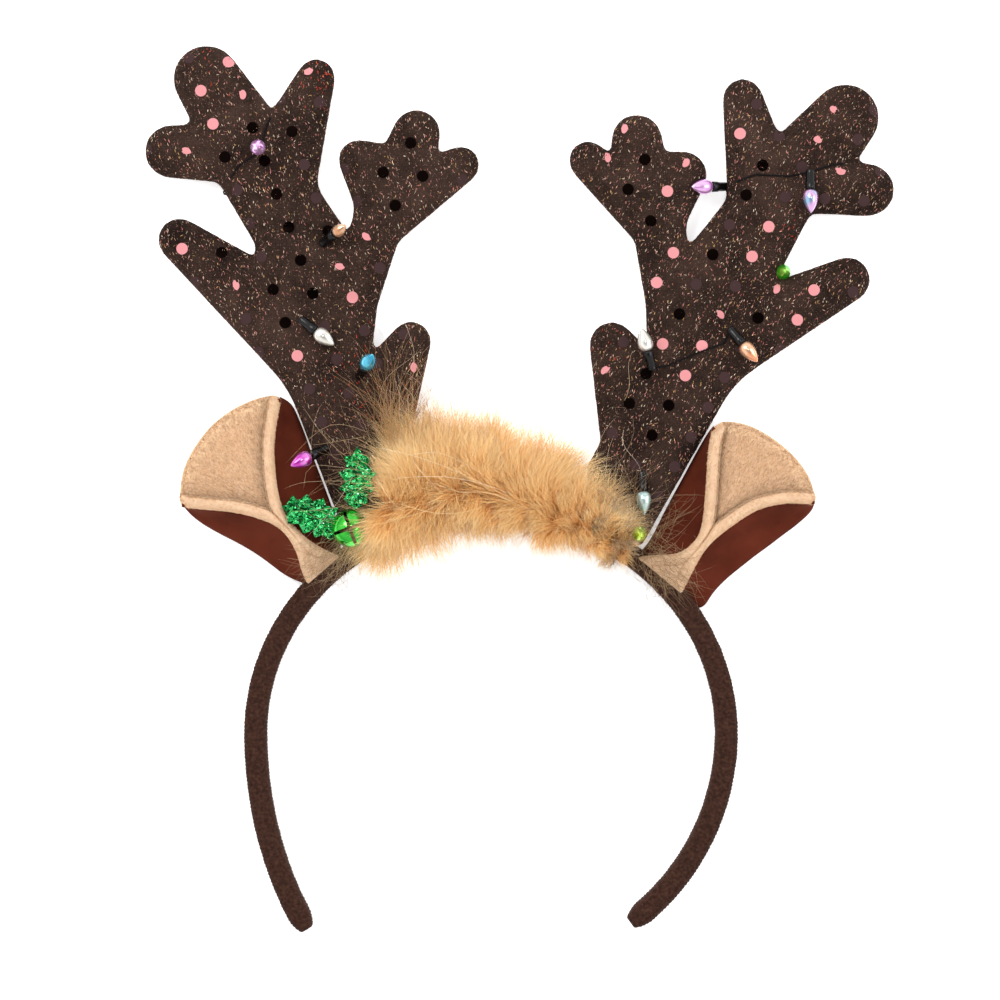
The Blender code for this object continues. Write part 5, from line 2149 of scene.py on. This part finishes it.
RIGHT_ANTLER = Antler(
    side="right",
    origin=(75.94, 96.9),
    down=(4.66, 8.32),
    across=(-10.99, 0.53),
    pink=frozenset(
        {(2, -1), (1, 1), (1, -1), (-1, 2), (0, 4), (1, 4), (0, 2), (-2, -1), (-3, -1), (-3, 1)}
        | {(-4, 1), (-4, -3), (-4, -2), (-5, -3), (-6, 0), (-6, -1), (-7, -1), (0, -2), (-5, -1)}
        | {(-7, 1)}
    ),
    black=frozenset(
        {(0, 0), (-1, 0), (-3, 0), (-1, 3), (-2, 2), (-5, 0), (-5, -2), (-7, 0), (-8, 0), (0, 3)}
        | {(-8, -1), (-9, -1)}
    ),
    seed=22,
    folds=(
        ((63.8, 87.0), (68.0, 92.0), (74.0, 94.4), (83.0, 93.9), (95.0, 97.0), (103.2, 98.2)),
        ((80.4, 65.0), (69.0, 57.0), (58.0, 48.0), (49.0, 39.0), (44.8, 33.0)),
    ),
    worn=frozenset({(1, -1), (0, 4), (1, 4), (0, 2), (-4, -2), (0, -2), (-5, -1), (-7, 1), (2, -1)}),
    lay=math.radians(70),
    hot=((81.0, 79.0, 3.0), (34.0, 47.0, 4.0)),
)
LEFT_EAR = Ear(
    side="left",
    inner_edge=(
        (-58.7, 31.6), (-59.1, 27.9), (-59.9, 23.8), (-60.4, 18.5), (-60.2, 13.5), (-59.7, 8.2),
        (-59.0, 4.1), (-57.4, -0.6), (-55.0, -3.7), (-51.7, -7.0), (-48.4, -9.5), (-42.2, -12.4),
    ),
    lower_edge=(
        (-86.4, 1.4), (-81.7, 0.8), (-75.5, 0.4), (-69.3, -0.4), (-64.4, -1.9), (-60.3, -3.5),
        (-57.4, -5.8), (-55.4, -8.6), (-53.7, -12.3), (-53.0, -16.0), (-51.2, -20.2),
    ),
    arc=(
        (-58.7, 31.6), (-59.7, 32.5), (-61.9, 32.7), (-65.2, 32.0), (-69.3, 30.4), (-73.5, 28.1),
        (-77.6, 25.0), (-80.8, 21.4), (-83.7, 17.2), (-86.0, 12.7), (-87.0, 8.2), (-87.3, 4.1),
        (-86.4, 1.4),
    ),
    inner_flap=(
        (-59.3, 32.4), (-57.0, 31.2), (-55.4, 29.4), (-53.5, 25.0), (-51.9, 20.9), (-50.9, 17.7),
        (-48.8, 12.3), (-47.0, 7.6), (-45.1, 2.5), (-43.5, -2.1), (-42.6, -6.6), (-42.0, -12.2),
    ),
    lower_flap=(
        (-87.2, 2.9), (-85.4, 0.0), (-81.7, -3.1), (-76.3, -6.2), (-71.4, -8.6), (-66.1, -11.7),
        (-61.9, -14.8), (-58.7, -17.3), (-55.8, -18.9), (-53.5, -19.8), (-51.0, -20.4),
    ),
    inner_waist=0.66,
    lower_waist=0.69,
    seed=31,
)
RIGHT_EAR = Ear(
    side="right",
    inner_edge=(
        (62.1, 23.7), (61.5, 22.5), (60.4, 16.4), (60.0, 9.3), (59.6, 3.8), (59.0, -2.1),
        (58.0, -6.4), (55.8, -9.1), (53.5, -10.9), (50.7, -11.9), (46.8, -11.9), (40.8, -12.6),
    ),
    lower_edge=(
        (90.4, 2.1), (86.1, 2.4), (81.8, 2.5), (76.3, 1.4), (72.7, -0.1), (68.0, -3.2),
        (62.1, -7.6), (58.6, -11.9), (56.2, -16.6), (53.2, -22.8),
    ),
    arc=(
        (62.1, 23.7), (64.1, 25.1), (66.4, 25.5), (70.4, 24.9), (74.3, 23.5), (79.0, 20.7),
        (83.0, 17.6), (86.1, 14.4), (88.9, 10.5), (90.4, 6.6), (90.9, 3.8), (90.4, 2.1),
    ),
    inner_flap=(
        (62.5, 24.2), (60.9, 22.3), (57.4, 16.2), (54.8, 11.3), (53.5, 8.9), (50.7, 3.8),
        (48.2, -0.9), (46.0, -5.6), (43.6, -9.5), (40.6, -12.4),
    ),
    lower_flap=(
        (91.1, 3.2), (90.4, 0.3), (86.1, -3.6), (82.2, -6.4), (78.2, -9.5), (74.3, -12.3),
        (70.4, -15.4), (66.4, -18.6), (62.5, -22.5), (60.2, -26.4), (58.2, -27.2), (55.0, -25.2),
        (53.0, -23.0),
    ),
    inner_waist=0.634,
    lower_waist=0.69,
    seed=32,
)
LIGHTS = (
    Light("left_1", Bulb.LILAC, (0.5, -1.5, 0.0)),
    Light("left_2", Bulb.COPPER, (-0.6, -1.5, -2.6), bulb_length=4.6 * MM, bulb_radius=1.75 * MM),
    Light("left_3", Bulb.SILVER),
    Light("left_4", Bulb.BLUE, (-0.4, -1.6, -0.5)),
    Light("left_5", Bulb.MAGENTA),
    Light("right_6", Bulb.LILAC, (-1.4, 0.0, -6.4)),
    Light("right_7", Bulb.IRIDESCENT),
    Light("right_8", Bulb.GREEN, (-2.0, -1.6, -3.2), socket_length=2.4 * MM),
    Light("right_9", Bulb.SILVER),
    Light("right_10", Bulb.PEACH),
    Light("right_11", Bulb.AQUA),
    Light("right_12", Bulb.LIME),
)
LEFT_CORD = Cord(
    side="left",
    route=(
        ("back", -36.5, 3.0), ("back", -41.0, 12.0), ("left_5", 0, 0), ("back", -42.0, 26.0),
        ("left_4", 0, 0), ("back", -42.0, 40.5), ("back", -45.0, 50.0), ("left_3", 0, 0),
        ("back", -57.0, 62.0), ("back", -51.5, 70.0), ("left_2", 0, 0), ("back", -53.0, 79.0),
        ("edge", -68.6, 79.3), ("back", -67.0, 86.0), ("edge", -75.2, 89.4), ("front", -70.5, 97.0),
        ("left_1", 0, 0), ("front", -63.0, 107.0), ("edge", -60.4, 114.2), ("back", -62.5, 104.0),
    ),
)
RIGHT_CORD = Cord(
    side="right",
    route=(
        ("back", 37.5, 4.0), ("back", 39.5, 12.0), ("right_11", 0, 0), ("back", 45.0, 18.0),
        ("back", 45.0, 32.0), ("right_9", 0, 0), ("front", 49.0, 40.8), ("front", 58.0, 44.6),
        ("front", 65.0, 47.2), ("right_10", 0, 0), ("back", 69.0, 57.0), ("edge", 80.2, 65.2),
        ("back", 73.0, 75.0), ("edge", 66.2, 87.8), ("right_6", 0, 0), ("front", 74.0, 94.4),
        ("front", 83.0, 93.9), ("right_7", 0, 0), ("front", 95.0, 97.0), ("edge", 103.6, 98.2),
        ("back", 94.0, 103.0),
    ),
)
HOLLY_LEFT = Leaf(
    "holly_leaf_1",
    41,
    outline=(
        (-44.1, -7.9), (-47.2, -6.2), (-48.8, -7.2), (-49.4, -4.9), (-52.1, -5.9), (-53.2, -3.3),
        (-56.4, -3.1), (-56.6, -0.2), (-58.1, 1.7), (-55.7, 2.3), (-55.0, 4.8), (-53.5, 3.2),
        (-50.9, 5.0), (-49.4, 3.0), (-46.3, 3.9), (-45.7, 1.7), (-42.4, 1.2), (-43.5, -1.4),
        (-41.8, -4.3), (-44.1, -7.9),
    ),
    vein=((-43.4, -6.6), (-48.0, -3.2), (-53.0, 0.2), (-57.4, 1.4)),
    height=12.6,
)
HOLLY_TOP = Leaf(
    "holly_leaf_2",
    42,
    outline=(
        (-37.7, 0.8), (-40.6, 3.6), (-39.9, 5.2), (-42.0, 6.4), (-40.3, 8.4), (-42.0, 11.0),
        (-39.8, 12.0), (-40.4, 15.4), (-38.3, 15.7), (-36.9, 18.2), (-35.6, 15.8), (-33.5, 15.6),
        (-33.9, 12.9), (-31.5, 10.8), (-33.3, 8.8), (-31.9, 6.2), (-34.2, 5.2), (-34.2, 2.6),
        (-37.7, 0.8),
    ),
    vein=((-37.4, 2.2), (-37.0, 8.0), (-36.9, 13.0), (-36.9, 17.4)),
    height=14.5,
)


def triangles(piece: Object) -> int:
    """Returns how many triangles a piece has."""
    return sum(len(face.vertices) - 2 for face in piece.data.polygons)


def main() -> None:
    """Builds the headband piece by piece and reports each."""
    logging.basicConfig(level=logging.INFO, format="%(message)s")
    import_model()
    Studio().build()
    made: list[Object] = []
    lights = {light.name: light for light in LIGHTS}
    parts = (
        Band(), LEFT_ANTLER, RIGHT_ANTLER, LEFT_EAR, RIGHT_EAR, Fur(), HOLLY_LEFT, HOLLY_TOP,
        JingleBell(), *LIGHTS,
    )
    for part in parts:
        made += part.build()
    for cord, pad in ((LEFT_CORD, "antler_left_pad"), (RIGHT_CORD, "antler_right_pad")):
        graph = bpy.context.evaluated_depsgraph_get()
        made += cord.build(lights, BVHTree.FromObject(bpy.data.objects[pad], graph))
    for piece in made:
        LOG.info("%s: %d triangles", piece.name, triangles(piece))
    LOG.info("added in all: %d triangles", sum(triangles(piece) for piece in made))
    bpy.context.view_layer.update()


if __name__ == "__main__":
    main()
